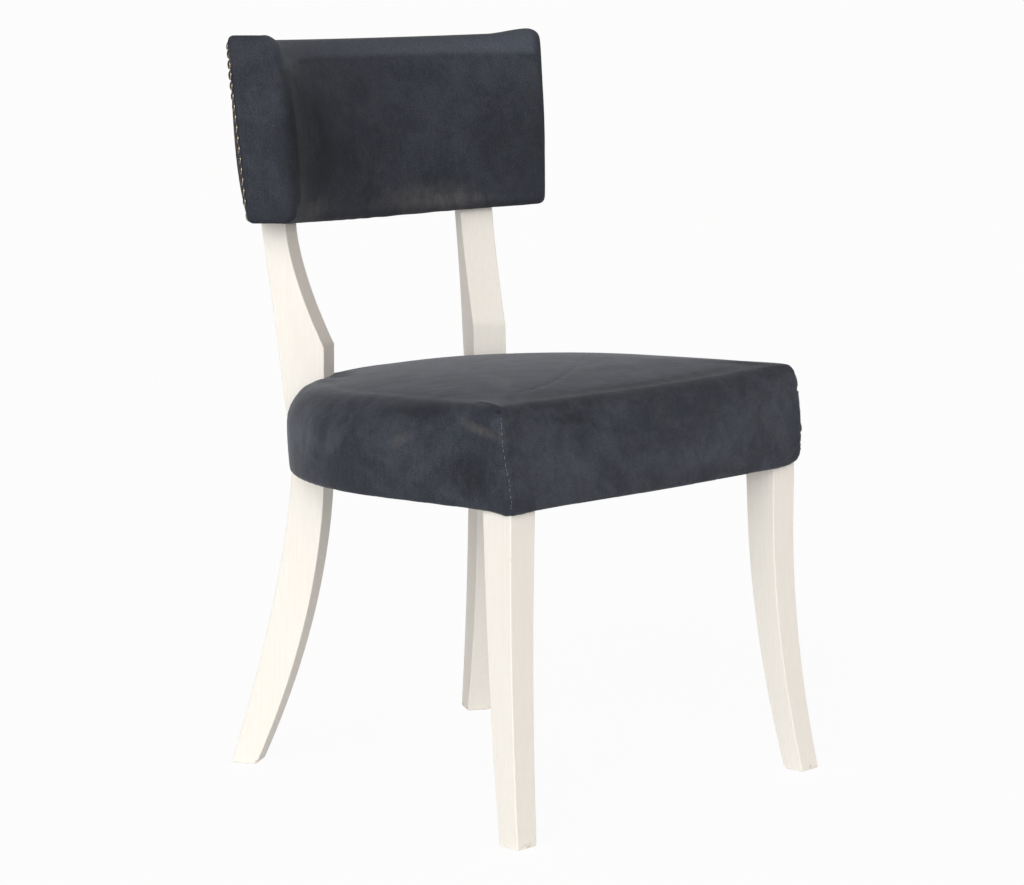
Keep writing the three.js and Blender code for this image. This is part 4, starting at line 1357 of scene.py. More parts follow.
def make_floor(settings):
    deselect()
    bpy.ops.mesh.primitive_plane_add(size=FLOOR_SIZE, location=(0, 0, 0))
    floor = bpy.context.object
    floor.name = "floor"
    material, tree, shader = new_material("Pale floor")
    tone = tree.ramp(tree.noise(tree.place(), 3.0), 0.3, 0.7)
    soft = tuple(c * 0.995 for c in settings.floor_colour[:3]) + (1,)
    tree.feed_all(
        shader,
        Base_Color=tree.blend(tone, settings.floor_colour, soft),
        Roughness=0.9,
        Specular_IOR_Level=0.1,
    )
    seen = tree.add("ShaderNodeLightPath").outputs["Is Camera Ray"]
    glow = tree.add("ShaderNodeEmission", Color=(1, 1, 1, 1), Strength=1.0)
    shown = tree.times(seen, settings.floor_glow)
    lifted = tree.add("ShaderNodeMixShader")
    tree.feed(lifted, 0, tree.math("MAXIMUM", shown, settings.floor_bounce))
    tree.feed(lifted, 1, shader.outputs[0])
    tree.feed(lifted, 2, glow.outputs[0])
    tree.feed(material.node_tree.nodes["Material Output"], "Surface", lifted.outputs[0])
    floor.data.materials.append(material)
    return floor


class CHAIR_OT_stage(bpy.types.Operator):
    """Floor, soft light and the camera at the photograph's angle"""

    bl_idname = "chair.stage"
    bl_label = "Stage"

    def execute(self, context):
        settings = context.scene.chair_stage
        scene = context.scene
        scene.view_settings.view_transform = "Standard"
        floor = make_floor(settings)

        world = bpy.data.worlds.new("Studio")
        scene.world = world
        world.use_nodes = True
        ground = world.node_tree.nodes["Background"]
        ground.inputs["Color"].default_value = (1, 0.925, 0.87, 1)
        ground.inputs["Strength"].default_value = settings.sky

        for name, strength, heading, height, softness, colour in (
            ("key", settings.key, (-0.95, -0.30), 20, 50, (0.985, 0.99, 0.975)),
            ("fill", settings.fill, (-0.70, -0.71), 12, 40, (1.0, 0.98, 0.96)),
            ("top", settings.top, (-0.05, -0.05), 86, 70, (1.0, 0.99, 0.98)),
            ("side", settings.side, (0.45, -0.89), 25, 60, (1.0, 0.945, 0.905)),
        ):
            lamp = bpy.data.lights.new(name, "SUN")
            lamp.energy = strength
            lamp.angle = math.radians(softness)
            lamp.color = colour
            holder = link_piece(name, lamp)
            away = Vector(heading).normalized() * math.cos(math.radians(height))
            source = Vector((away.x, away.y, math.sin(math.radians(height))))
            holder.location = source * 4
            holder.rotation_euler = source.to_track_quat("Z", "Y").to_euler()

        lens = bpy.data.cameras.new("camera")
        lens.sensor_width = SENSOR_WIDTH
        lens.lens = FOCAL_LENGTH / PHOTO_WIDTH * SENSOR_WIDTH
        lens.clip_end = CLIP_END
        camera = link_piece("camera", lens)
        camera.location = CAMERA_PLACE
        camera.rotation_euler = (CAMERA_PITCH, 0, CAMERA_HEADING)
        scene.camera = camera
        return {"FINISHED"}


class CHAIR_OT_front_legs(bpy.types.Operator):
    """Swept front legs of lime-washed wood"""

    bl_idname = "chair.front_legs"
    bl_label = "Front legs"

    def execute(self, context):
        settings = context.scene.chair_wood
        for side, sign in SIDES:
            heights = steps_between(0, LEG_STRAIGHT_FROM, LEG_STEPS)
            heights += steps_between(RAIL_BOTTOM, RAIL_TOP, LEG_DRESS_STEPS)
            leg = stack_sections(
                "painted_front_leg_" + side, [leg_section(sign, h) for h in heights]
            )
            round_and_shade(leg, settings.foot_chamfer, settings.ease)
            finish_piece(leg, "Lime-washed wood")
            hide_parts("front_leg_" + side)
        return {"FINISHED"}


class CHAIR_OT_rear_posts(bpy.types.Operator):
    """Rear posts, each in one piece from the floor into the back panel"""

    bl_idname = "chair.rear_posts"
    bl_label = "Rear posts"

    def execute(self, context):
        settings = context.scene.chair_wood
        for side, sign in SIDES:
            heights = steps_between(0, RAIL_BOTTOM, POST_STEPS)
            heights += steps_between(KNEE_HEIGHT, PANEL_BOTTOM, NECK_STEPS) + [POST_TOP]
            post = stack_sections(
                "painted_rear_post_" + side, [post_section(sign, h) for h in heights]
            )
            round_and_shade(post, settings.foot_chamfer, settings.ease)
            place_post(post, sign)
            finish_piece(post, "Lime-washed wood")
            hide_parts("rear_post_" + side)
        return {"FINISHED"}


class CHAIR_OT_seat(bpy.types.Operator):
    """Velvet seat cover over its padding"""

    bl_idname = "chair.seat"
    bl_label = "Seat cover"

    def execute(self, context):
        settings = context.scene.chair_seat
        outline = seat_outline()
        rings_at = lambda inset: seat_rings(outline, COVER_BOTTOM, inset)
        seat = snug_padding("seat_velvet", rings_at, settings.voxel)
        points = coordinates(seat)
        held = smooth(points[:, 2], COVER_BOTTOM + 0.014, COVER_BOTTOM + 0.004)
        for sign in (-1, 1):
            reach = np.hypot(points[:, 0] - sign * POST_PASS_X, points[:, 1] - POST_PASS_Y)
            held = np.maximum(held, smooth(reach, 0.050, 0.034))
            near, _, _ = distance_to_path(points, front_corner(sign))
            held = np.maximum(held, smooth(near, 0.012, 0.006))
        swell(seat, held, settings.pressure, settings.swell_limit)
        fill_shape(seat, rings_at)
        ease_top(seat)
        sculpt_seat(seat)
        inner = lofted("inner", seat_rings(outline, RAIL_BOTTOM - COVER_GAP, SKIN))
        room = coordinates(inner)
        draw_in_corners(room, 0.010)
        set_coordinates(inner, room)
        low, high = RAIL_BOTTOM - 0.038, RAIL_BOTTOM + 0.004
        cutters = [inner, plan_plate("opening", inset_plan(outline, HEM_WIDTH), low, high)]
        for _, sign in SIDES:
            cutters.append(
                post_cutter("notch", sign, CUT_BELOW_SEAT, CUT_ABOVE_SEAT, WOOD_ROOM, CUT_BEHIND)
            )
            cutters.append(leg_cutter("leg_room", sign, CUT_BELOW_SEAT, RAIL_TOP, WOOD_ROOM))
        cut_all(seat, cutters)
        smooth_by_angle(seat, 60)
        finish_piece(seat, "Seat velvet")
        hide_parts("seat_cover")
        return {"FINISHED"}


class CHAIR_OT_seam_stitches(bpy.types.Operator):
    """Stitches of the seams down the front corners of the seat"""

    bl_idname = "chair.seam_stitches"
    bl_label = "Seam stitches"

    def execute(self, context):
        cover = bpy.data.objects["seat_velvet"]
        tree = BVHTree.FromObject(cover, context.evaluated_depsgraph_get())
        deselect()
        bpy.ops.mesh.primitive_uv_sphere_add(segments=8, ring_count=6, radius=1)
        stitch = context.object
        edit_all()
        bpy.ops.transform.resize(value=STITCH_HALF_SIZE, center_override=(0, 0, 0))
        bpy.ops.object.mode_set(mode="OBJECT")
        smooth_by_angle(stitch, 60)
        frames = []
        for sign in (-1, 1):
            path = front_corner(sign)
            top, bottom = path[0][2], path[-1][2]
            low, high = bottom + 0.006, 0.470
            for i in range(int((high - low) / STITCH_PITCH) + 1):
                height = low + i * STITCH_PITCH
                height += hem_lift_at(sign, height)
                share = (top - height) / (top - bottom) * (len(path) - 1)
                index = min(len(path) - 2, max(0, int(share)))
                guess = Vector(path[index]).lerp(Vector(path[index + 1]), share - index)
                guess += Vector((sign, -1, 0)) * 0.003
                at, out, _, _ = tree.find_nearest(guess)
                frames.append(along_frame(at, out, Vector((0, 0, 1))))
        run = joined_copies("seat_seam_stitches", stitch, frames)
        discard(stitch)
        finish_piece(run, "Seam thread")
        return {"FINISHED"}


class CHAIR_OT_padding(bpy.types.Operator):
    """Foam under the covers of the seat and the back"""

    bl_idname = "chair.padding"
    bl_label = "Padding"

    def execute(self, context):
        for node, name, towards in (
            ("seat_foam", "seat_padding", (0, 0, -1)),
            ("back_foam", "back_padding", (0, 1, 0)),
        ):
            piece = copy_of_node(name, node)
            points = coordinates(piece)
            points -= PADDING_INSET * inset_ways(vertex_normals(piece), np.array(towards))
            if node == "seat_foam":
                for point in points:
                    point[1] += corner_draw(point[0], point[1] + REARWARD, point[2])
                points[:, 2] += hem_lift(points)
                draw_in_corners(points, 0.022)
            set_coordinates(piece, points)
            smooth_by_angle(piece, 30)
            finish_piece(piece, "Cut foam")
            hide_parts(node)
        return {"FINISHED"}


def inset_ways(normals, frame_side):
    """Normals of the padding, kept level with the frame where a face rests on it, so that an
    inset leaves that face where it is."""
    carried = normals @ frame_side
    sideways = normals - carried[:, None] * frame_side
    sideways /= np.maximum(np.linalg.norm(sideways, axis=1, keepdims=True), 0.3)
    return np.where(carried[:, None] > 0.2, sideways, normals)


# Back panel


def post_line(height):
    return PANEL_RADIUS + PANEL_LEAN * (height - PANEL_BOTTOM)


def crown_at(height):
    """1 half way up the panel and 0 at its top and bottom, for a number or an array."""
    middle = PANEL_BOTTOM + PANEL_HEIGHT / 2
    return np.clip(1 - ((height - middle) / (PANEL_HEIGHT / 2)) ** 2, 0, 1)


def inside_line(height):
    return post_line(height) - PAD_STAND - PAD_CROWN * crown_at(height)


def rear_crown(height):
    """Crown of the outside face, fullest below the middle."""
    share = min(1.0, max(0.0, (height - PANEL_BOTTOM) / PANEL_HEIGHT))
    return REAR_CROWN * math.sin(math.pi * share**0.66) ** 1.3


def rear_face(height, angle):
    """Outside face of the panel, whose crown falls away towards the rows of nails at the ends."""
    from_end = (PANEL_HALF_ANGLE - abs(angle)) * PANEL_RADIUS
    shown = smooth(from_end, 0.008, 0.020)
    return post_line(height) + REAR_STAND + rear_crown(height) * shown


def arc_point(radius, angle, height):
    share = angle / PANEL_HALF_ANGLE
    draw = PANEL_END_DRAW * share * (height - PANEL_BOTTOM) / (PANEL_HEIGHT * PANEL_RADIUS)
    return Vector(
        (
            radius * math.sin(angle - draw),
            PANEL_AXIS_Y + radius * math.cos(angle - draw) - REARWARD,
            height + PANEL_END_RISE * share * share,
        )
    )


def panel_section(angle, from_end, shrink):
    def draw_in(radius):
        if from_end >= radius:
            return 0.0
        return radius - math.sqrt(radius * radius - (radius - from_end) ** 2)

    high = PANEL_TOP - draw_in(CORNER_TOP) - shrink
    low = PANEL_BOTTOM + draw_in(CORNER_BOTTOM) + shrink
    inside_at = lambda h: inside_line(h) + draw_in(END_FOLD) + shrink
    outside_at = lambda h: rear_face(h, angle) - shrink - draw_in(REAR_ROLL)
    points = []

    def arc(radius, start, level, is_inside, is_top):
        for i in range(ARC_STEPS + 1):
            turn = start - i / ARC_STEPS * math.pi / 2
            rise = radius * (math.sin(turn) - 1) if is_top else radius * (math.sin(turn) + 1)
            height = level + rise
            if is_inside:
                reach = inside_at(height) + radius * (1 + math.cos(turn))
            else:
                reach = outside_at(height) - radius * (1 - math.cos(turn))
            points.append(arc_point(reach, angle, height))

    def face(line_at, start, end):
        for height in steps_between(start, end, FACE_STEPS)[1:-1]:
            points.append(arc_point(line_at(height), angle, height))

    arc(ROLL_BOTTOM, 1.5 * math.pi, low, True, False)
    face(inside_at, low + ROLL_BOTTOM, high - ROLL_TOP)
    arc(ROLL_TOP, math.pi, high, True, True)
    arc(REAR_ROLL, math.pi / 2, high, False, True)
    face(outside_at, high - REAR_ROLL, low + REAR_ROLL)
    arc(REAR_ROLL, 0, low, False, False)
    return points


def panel_rings(shrink):
    reach = PANEL_HALF_ANGLE - shrink / PANEL_RADIUS
    near_end = [CORNER_TOP * share for share in (0, 0.04, 0.12, 0.25, 0.45, 0.7, 1)]
    flat = reach - near_end[-1] / PANEL_RADIUS
    stations = [(d / PANEL_RADIUS - reach, d) for d in near_end]
    between = steps_between(-flat, flat, PANEL_STEPS)[1:-1]
    stations += [(angle, CORNER_TOP) for angle in between]
    stations += [(reach - d / PANEL_RADIUS, d) for d in reversed(near_end)]
    return [panel_section(angle, from_end, shrink) for angle, from_end in stations]


def bent_block(name, inner_at, outer_at):
    """A body bent about the panel's axis between two radii, past the panel on every side."""
    levels = [PANEL_BOTTOM - CUT_PAST_PANEL]
    levels += steps_between(PANEL_BOTTOM, PANEL_TOP, 16)
    levels += [PANEL_TOP + CUT_PAST_PANEL]
    reach = PANEL_HALF_ANGLE + CUT_PAST_ANGLE
    rings = []
    for angle in steps_between(-reach, reach, PANEL_STEPS):
        inner = [arc_point(inner_at(h, angle), angle, h) for h in levels]
        outer = [arc_point(outer_at(h, angle), angle, h) for h in levels]
        rings.append(inner + outer[::-1])
    return lofted(name, rings)


def lift_ends(piece):
    """Fuller ends: the top rises a little over each end and the end faces stand proud."""
    points = coordinates(piece)
    angle, _, height = panel_place(points)
    across = np.abs(angle) / PANEL_HALF_ANGLE
    top = smooth(height, PANEL_TOP - 0.045, PANEL_TOP)
    rise = COVER_END_RISE * smooth(across, 0.74, 0.92) * top
    bulge = smooth(across, 0.93, 0.99) * crown_at(height)
    out = COVER_END_BULGE * bulge * np.sign(angle)
    points[:, 2] += rise
    points[:, 0] += out * np.cos(angle)
    points[:, 1] -= out * np.sin(angle)
    set_coordinates(piece, points)


def panel_place(points):
    """Angle about the panel's axis, radius and height of each point."""
    x = points[:, 0]
    y = points[:, 1] + REARWARD - PANEL_AXIS_Y
    return np.arctan2(x, y), np.hypot(x, y), points[:, 2]


def sculpt_back(piece):
    """The step under the top roll, drag lines over the bottom and the sag of the lower edge;
    writes an attribute that is 1 on the roll, where the velvet is coloured lighter."""
    points = coordinates(piece)
    normals = vertex_normals(piece)
    angle, radius, height = panel_place(points)
    lean = PANEL_LEAN * (height - PANEL_BOTTOM)
    across = np.abs(angle) / PANEL_HALF_ANGLE
    face = smooth(radius - lean, PANEL_RADIUS - 0.004, PANEL_RADIUS - 0.012)
    face *= smooth(across, 0.975, 0.925)
    top = PANEL_TOP + PANEL_END_RISE * across**2 - TOP_ROLL_DEPTH - 0.006 * across**4
    top -= 0.010 * smooth(-angle / PANEL_HALF_ANGLE, 0.45, 0.95)
    step = TOP_ROLL_STEP * smooth(height, top - 0.005, top + 0.005)
    dip = bell(height - top + 0.002, width=0.006, height=-0.0004)
    move = normals * ((step + dip) * face)[:, None]
    low = smooth(height, PANEL_BOTTOM + 0.055, PANEL_BOTTOM + 0.008)
    drag = np.sin(angle * 61 + 3.1 * np.sin(angle * 9 + 1.3) + (height - PANEL_BOTTOM) * 55)
    fade = 0.55 + 0.45 * np.sin(angle * 5.3 + 0.8)
    move += normals * (DRAG_DEPTH * drag * fade * low * face)[:, None]
    inner_half = smooth(radius - lean, PANEL_RADIUS + 0.012, PANEL_RADIUS - 0.010)
    middle = bell(angle / PANEL_HALF_ANGLE + 0.05, width=0.70)
    hem = smooth(height, PANEL_BOTTOM + 0.040, PANEL_BOTTOM + 0.004)
    move[:, 2] -= COVER_HEM_SAG * middle * hem * inner_half * smooth(across, 0.98, 0.86)
    set_coordinates(piece, points + move)
    lifted = smooth(height, top - 0.0030, top + 0.0050) * face
    write_attribute(piece, "brushed_up", lifted)


def behind_panel(height, angle):
    """Radius well behind the outside face, for what cuts it away."""
    return rear_face(height, angle) + CUT_BEHIND


class CHAIR_OT_battens(bpy.types.Operator):
    """Upright ends of the back frame, trimmed to the outside face"""

    bl_idname = "chair.battens"
    bl_label = "Back battens"

    def execute(self, context):
        trim_at = lambda h, angle: rear_face(h, angle) - BOARD_THICKNESS - BATTEN_ROOM
        for side, _ in SIDES:
            batten = copy_of_node("planed_batten_" + side, "back_batten_" + side)
            cut_all(batten, [bent_block("rear", trim_at, behind_panel)])
            smooth_by_angle(batten, 30)
            finish_piece(batten, "Planed hardwood")
            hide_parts("back_batten_" + side)
        return {"FINISHED"}


class CHAIR_OT_back(bpy.types.Operator):
    """Velvet covers of the back panel, inside and outside"""

    bl_idname = "chair.back"
    bl_label = "Back covers"

    def execute(self, context):
        settings = context.scene.chair_back
        panel = snug_padding("back_velvet_inside", panel_rings, settings.voxel)
        _, radius, height = panel_place(coordinates(panel))
        depth = radius - PANEL_LEAN * (height - PANEL_BOTTOM)
        held = smooth(depth, PANEL_RADIUS + 0.006, PANEL_RADIUS + 0.020)
        swell(panel, held, settings.pressure, settings.swell_limit)
        fill_shape(panel, panel_rings)
        lift_ends(panel)
        outside = link_piece("back_velvet_outside", panel.data.copy())

        sculpt_back(panel)
        board_front = lambda h, angle: rear_face(h, angle) - BOARD_THICKNESS
        gap_front = lambda h, angle: board_front(h, angle) - COVER_GAP
        cutters = [
            bent_block("behind", gap_front, behind_panel),
            lofted("hollow", panel_rings(SKIN)),
        ]
        for _, sign in SIDES:
            cutters.append(post_cutter("socket", sign, CUT_BELOW_BACK, POST_TOP, SOCKET_ROOM))
        cut_all(panel, cutters)
        board = bent_block("board", board_front, behind_panel)
        cut(outside, board, "INTERSECT")
        discard(board)
        for piece, material, node, fill in (
            (panel, "Back velvet", "back_cover_inside", 0.8),
            (outside, "Outside velvet", "back_cover_outside", 0.2),
        ):
            smooth_by_angle(piece, 60)
            finish_piece(piece, material)
            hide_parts(node)
        return {"FINISHED"}


# Nail heads


def nail_head(diameter, height):
    """One head: the upper part of a ball, flattened, with a turned-down rim."""
    ball_cut = diameter * 0.14
    cap_height = diameter * 0.36
    deselect()
    bpy.ops.mesh.primitive_uv_sphere_add(segments=14, ring_count=10, radius=diameter / 2)
    head = bpy.context.object
    edit_all()
    bpy.ops.mesh.bisect(plane_co=(0, 0, ball_cut), plane_no=(0, 0, 1), clear_inner=True)
    bpy.ops.mesh.select_all(action="SELECT")
    bpy.ops.transform.translate(value=(0, 0, -ball_cut))
    bpy.ops.transform.resize(value=(1.04, 1.04, height / cap_height), center_override=(0, 0, 0))
    select_where(head, "edges", lambda edge: edge.is_boundary)
    bpy.ops.mesh.extrude_region_move(TRANSFORM_OT_translate={"value": (0, 0, -0.0004)})
    bpy.ops.mesh.edge_face_add()
    close_edit()
    reaches = [math.hypot(v.co.x, v.co.y) / (diameter / 2) for v in head.data.vertices]
    # 1 round the rim, where the nail material paints a highlight
    write_attribute(head, "rubbed_edge", smooth(np.array(reaches), 0.80, 0.98))
    smooth_by_angle(head, 50)
    return head


def upright_nails(sign, pitch):
    """Places up one end of the outside face, which turn in at the top."""
    places = []
    low = PANEL_BOTTOM + NAILS_ABOVE_BOTTOM
    turn_low, turn_high = PANEL_TOP - NAILS_TURN_FROM, PANEL_TOP - NAILS_TURN_TO
    count = int((PANEL_TOP - NAILS_BELOW_TOP - low) / pitch)
    for i in range(count + 1):
        height = low + i * pitch
        turned_in = NAILS_TURN_IN * smooth(height, turn_low, turn_high)
        angle = sign * (PANEL_HALF_ANGLE - (NAIL_EDGE + turned_in) / PANEL_RADIUS)
        turn = angle + sign * NAIL_TILT
        at = arc_point(rear_face(height, angle) - NAIL_DEPTH, angle, height)
        above = height + pitch
        ahead = arc_point(rear_face(above, angle) - NAIL_DEPTH, angle, above)
        places.append((at, Vector((math.sin(turn), math.cos(turn), 0)), ahead - at))
    return places


def level_nails(edge_height, upward, end_gap, pitch):
    """Places along the top or the bottom of the outside face."""
    places = []
    level = edge_height - upward * (NAIL_EDGE + LEVEL_ROW_INSET)
    radius = rear_face(level, 0) - NAIL_DEPTH
    reach = PANEL_HALF_ANGLE - end_gap / radius
    for angle in steps_between(-reach, reach, int(2 * reach * radius / pitch)):
        out = Vector((math.sin(angle), math.cos(angle), 0)) * math.cos(NAIL_TILT)
        out.z = upward * math.sin(NAIL_TILT)
        at = arc_point(radius, angle, level)
        places.append((at, out, arc_point(radius, angle + 0.03, level) - at))
    return places


def along_frame(at, out, along):
    out = out.normalized()
    side = along.cross(out).normalized()
    ahead = out.cross(side).normalized()
    turn = Matrix((side, ahead, out)).transposed().to_4x4()
    return Matrix.Translation(at) @ turn


def joined_copies(name, pattern, frames):
    """Copies of a small pattern, each moved to its own place, as one piece."""
    whole = bmesh.new()
    for move in frames:
        mesh = pattern.data.copy()
        mesh.transform(move)
        whole.from_mesh(mesh)
        bpy.data.meshes.remove(mesh)
    mesh = bpy.data.meshes.new(name)
    whole.to_mesh(mesh)
    whole.free()
    return link_piece(name, mesh)


class CHAIR_OT_nail_heads(bpy.types.Operator):
    """Runs of nail heads round the outside of the back"""

    bl_idname = "chair.nail_heads"
    bl_label = "Nail heads"

    def execute(self, context):
        settings = context.scene.chair_nails
        head = nail_head(settings.diameter, settings.height)
        pitch = settings.pitch
        for kind, places in (
            ("left", upright_nails(-1, pitch)),
            ("right", upright_nails(1, pitch)),
            ("top", level_nails(PANEL_TOP, 1, TOP_ROW_GAP, pitch)),
            ("bottom", level_nails(PANEL_BOTTOM, -1, BOTTOM_ROW_GAP, pitch)),
        ):
            frames = []
            for i, (at, out, along) in enumerate(places):
                grow = REAL_NAIL_GROWTH if i % REAL_NAIL_EVERY == 2 else 1.0
                place = along_frame(at + out * NAIL_STAND, out, along)
                frames.append(place @ Matrix.Scale(grow, 4))
            run = joined_copies("nail_heads_" + kind, head, frames)
            smooth_by_angle(run, 50)
            finish_piece(run, "Antiqued nail heads")
            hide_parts("nail_trim_" + kind)
        discard(head)
        return {"FINISHED"}


class CHAIR_OT_underside(bpy.types.Operator):
    """Dust cover under the seat and the staples that hold it"""

    bl_idname = "chair.underside"
    bl_label = "Underside"

    def execute(self, context):
        outline = seat_outline(28, 10, 12)
        deselect()
        bpy.ops.mesh.primitive_grid_add(
            x_subdivisions=72, y_subdivisions=72, size=0.6, location=(0, 0, CLOTH_HEIGHT)
        )
        cloth = context.object
        cloth.name = "dust_cloth"
        apply_place(cloth)
        apply_modifier(cloth, "SOLIDIFY", thickness=CLOTH_THICKNESS, offset=0.0)
        plan = inset_plan(outline, HEM_WIDTH + 0.0006)
        plate = plan_plate("plate", plan, CLOTH_HEIGHT - 0.01, CLOTH_HEIGHT + 0.01)
        cut(cloth, plate, "INTERSECT")
        discard(plate)
        for _, sign in SIDES:
            ends = (sign, CUT_BELOW_SEAT, CUT_ABOVE_CLOTH, CLOTH_ROOM)
            cut_all(cloth, [post_cutter("notch", *ends, CUT_BEHIND), leg_cutter("leg_room", *ends)])
        points = coordinates(cloth)
        inner = np.hypot(points[:, 0], points[:, 1] + REARWARD)
        slack = smooth(inner, 0.225, 0.06)
        waves = np.sin(points[:, 0] * 37 + 2 * np.sin(points[:, 1] * 21)) * 0.5 + 0.5
        points[:, 2] -= CLOTH_SAG * slack + CLOTH_WAVE * slack * waves
        set_coordinates(cloth, points)
        smooth_by_angle(cloth, 40)
        finish_piece(cloth, "Black cambric")
        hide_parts("dust_cover")

        staple = make_staple()
        run = joined_copies("dust_cloth_staples", staple, staple_frames(outline))
        discard(staple)
        finish_piece(run, "Zinc-plated steel")
        return {"FINISHED"}


def staple_frames(outline):
    """Places for staples round the rim of the dust cover, clear of the legs and posts."""
    frames = []
    rim = inset_plan(outline, HEM_WIDTH + STAPLE_INSET)
    travelled = 0.0
    for (ax, ay), (bx, by) in zip(rim, rim[1:] + rim[:1]):
        step = Vector((bx - ax, by - ay, 0))
        travelled += step.length
        if travelled < STAPLE_PITCH:
            continue
        travelled = 0.0
        at = Vector((ax, ay, CLOTH_HEIGHT - 0.0005)) + step / 2
        if not near_wood(at):
            frames.append(along_frame(at, Vector((0, 0, -1)), step))
    return frames


def near_wood(at):
    """Whether a place under the seat is too near a leg or a post."""
    for sign in (-1, 1):
        x, y, _, width, depth = leg_section(sign, RAIL_BOTTOM)
        clear_x, clear_y = width / 2 + STAPLE_CLEAR, depth / 2 + STAPLE_CLEAR
        if abs(at.x - x) < clear_x and abs(at.y - y) < clear_y:
            return True
        if math.hypot(at.x - sign * POST_PASS_X, at.y - POST_PASS_Y) < STAPLE_POST_CLEAR:
            return True
    return False


def make_staple():
    """One staple: the flat crown of a wire with its two ends turned in."""
    deselect()
    bpy.ops.mesh.primitive_cube_add(size=1, location=(0, 0, 0))
    staple = bpy.context.object
    edit_all()
    bpy.ops.transform.resize(value=STAPLE_SIZE, center_override=(0, 0, 0))
    for sign in (-1, 1):
        select_where(staple, "faces", lambda face: face.normal.y * sign > 0.9)
        bpy.ops.mesh.extrude_region_move(
            TRANSFORM_OT_translate={"value": (0, sign * 0.0007, -0.0005)}
        )
    bpy.ops.object.mode_set(mode="OBJECT")
    apply_modifier(staple, "BEVEL", width=0.0002, segments=2)
    return staple


class CHAIR_OT_frame_finishes(bpy.types.Operator):
    """Finishes of the frame and fasteners inside the covers"""

    bl_idname = "chair.frame_finishes"
    bl_label = "Frame finishes"

    def execute(self, context):
        finishes = {
            "hardwood": "Planed hardwood",
            "plywood": "Plywood",
            "zinc_steel": "Zinc-plated steel",
        }
        for part in frame["record"]["subparts"]:
            finish = finishes.get(part["material_slot"])
            if finish:
                node = frame["nodes"][part["node"]]
                node.data.materials.clear()
                node.data.materials.append(bpy.data.materials[finish])
        return {"FINISHED"}


class CHAIR_OT_materials(bpy.types.Operator):
    """Materials and the node groups that they share"""

    bl_idname = "chair.materials"
    bl_label = "Materials"

    def execute(self, context):
        make_nap_group()
        make_patch_group()
        make_grain_group()
        make_wear_and_highlight_group()
        scene = context.scene
        seat = scene.chair_seat
        velvet_material(
            "Seat velvet", seat, SEAT_PATCHES, seat.sheen, top_edge=EDGE_FRONT - 0.007
        )
        velvet_material("Back velvet", seat, BACK_PATCHES, seat.back_sheen, contrast=0.5)
        velvet_material("Outside velvet", seat, (), seat.back_sheen, contrast=0.5)
        painted_wood_material(scene.chair_wood)
        bare_wood_material("Planed hardwood", (0.55, 0.37, 0.19, 1), (0.36, 0.22, 0.10, 1), 180.0)
        bare_wood_material(
            "Plywood", (0.62, 0.45, 0.26, 1), (0.42, 0.28, 0.14, 1), 140.0, across=True
        )
        foam_material()
        steel_material()
        nail_material(scene.chair_nails)
        dust_cloth_material()
        thread_material()
        return {"FINISHED"}
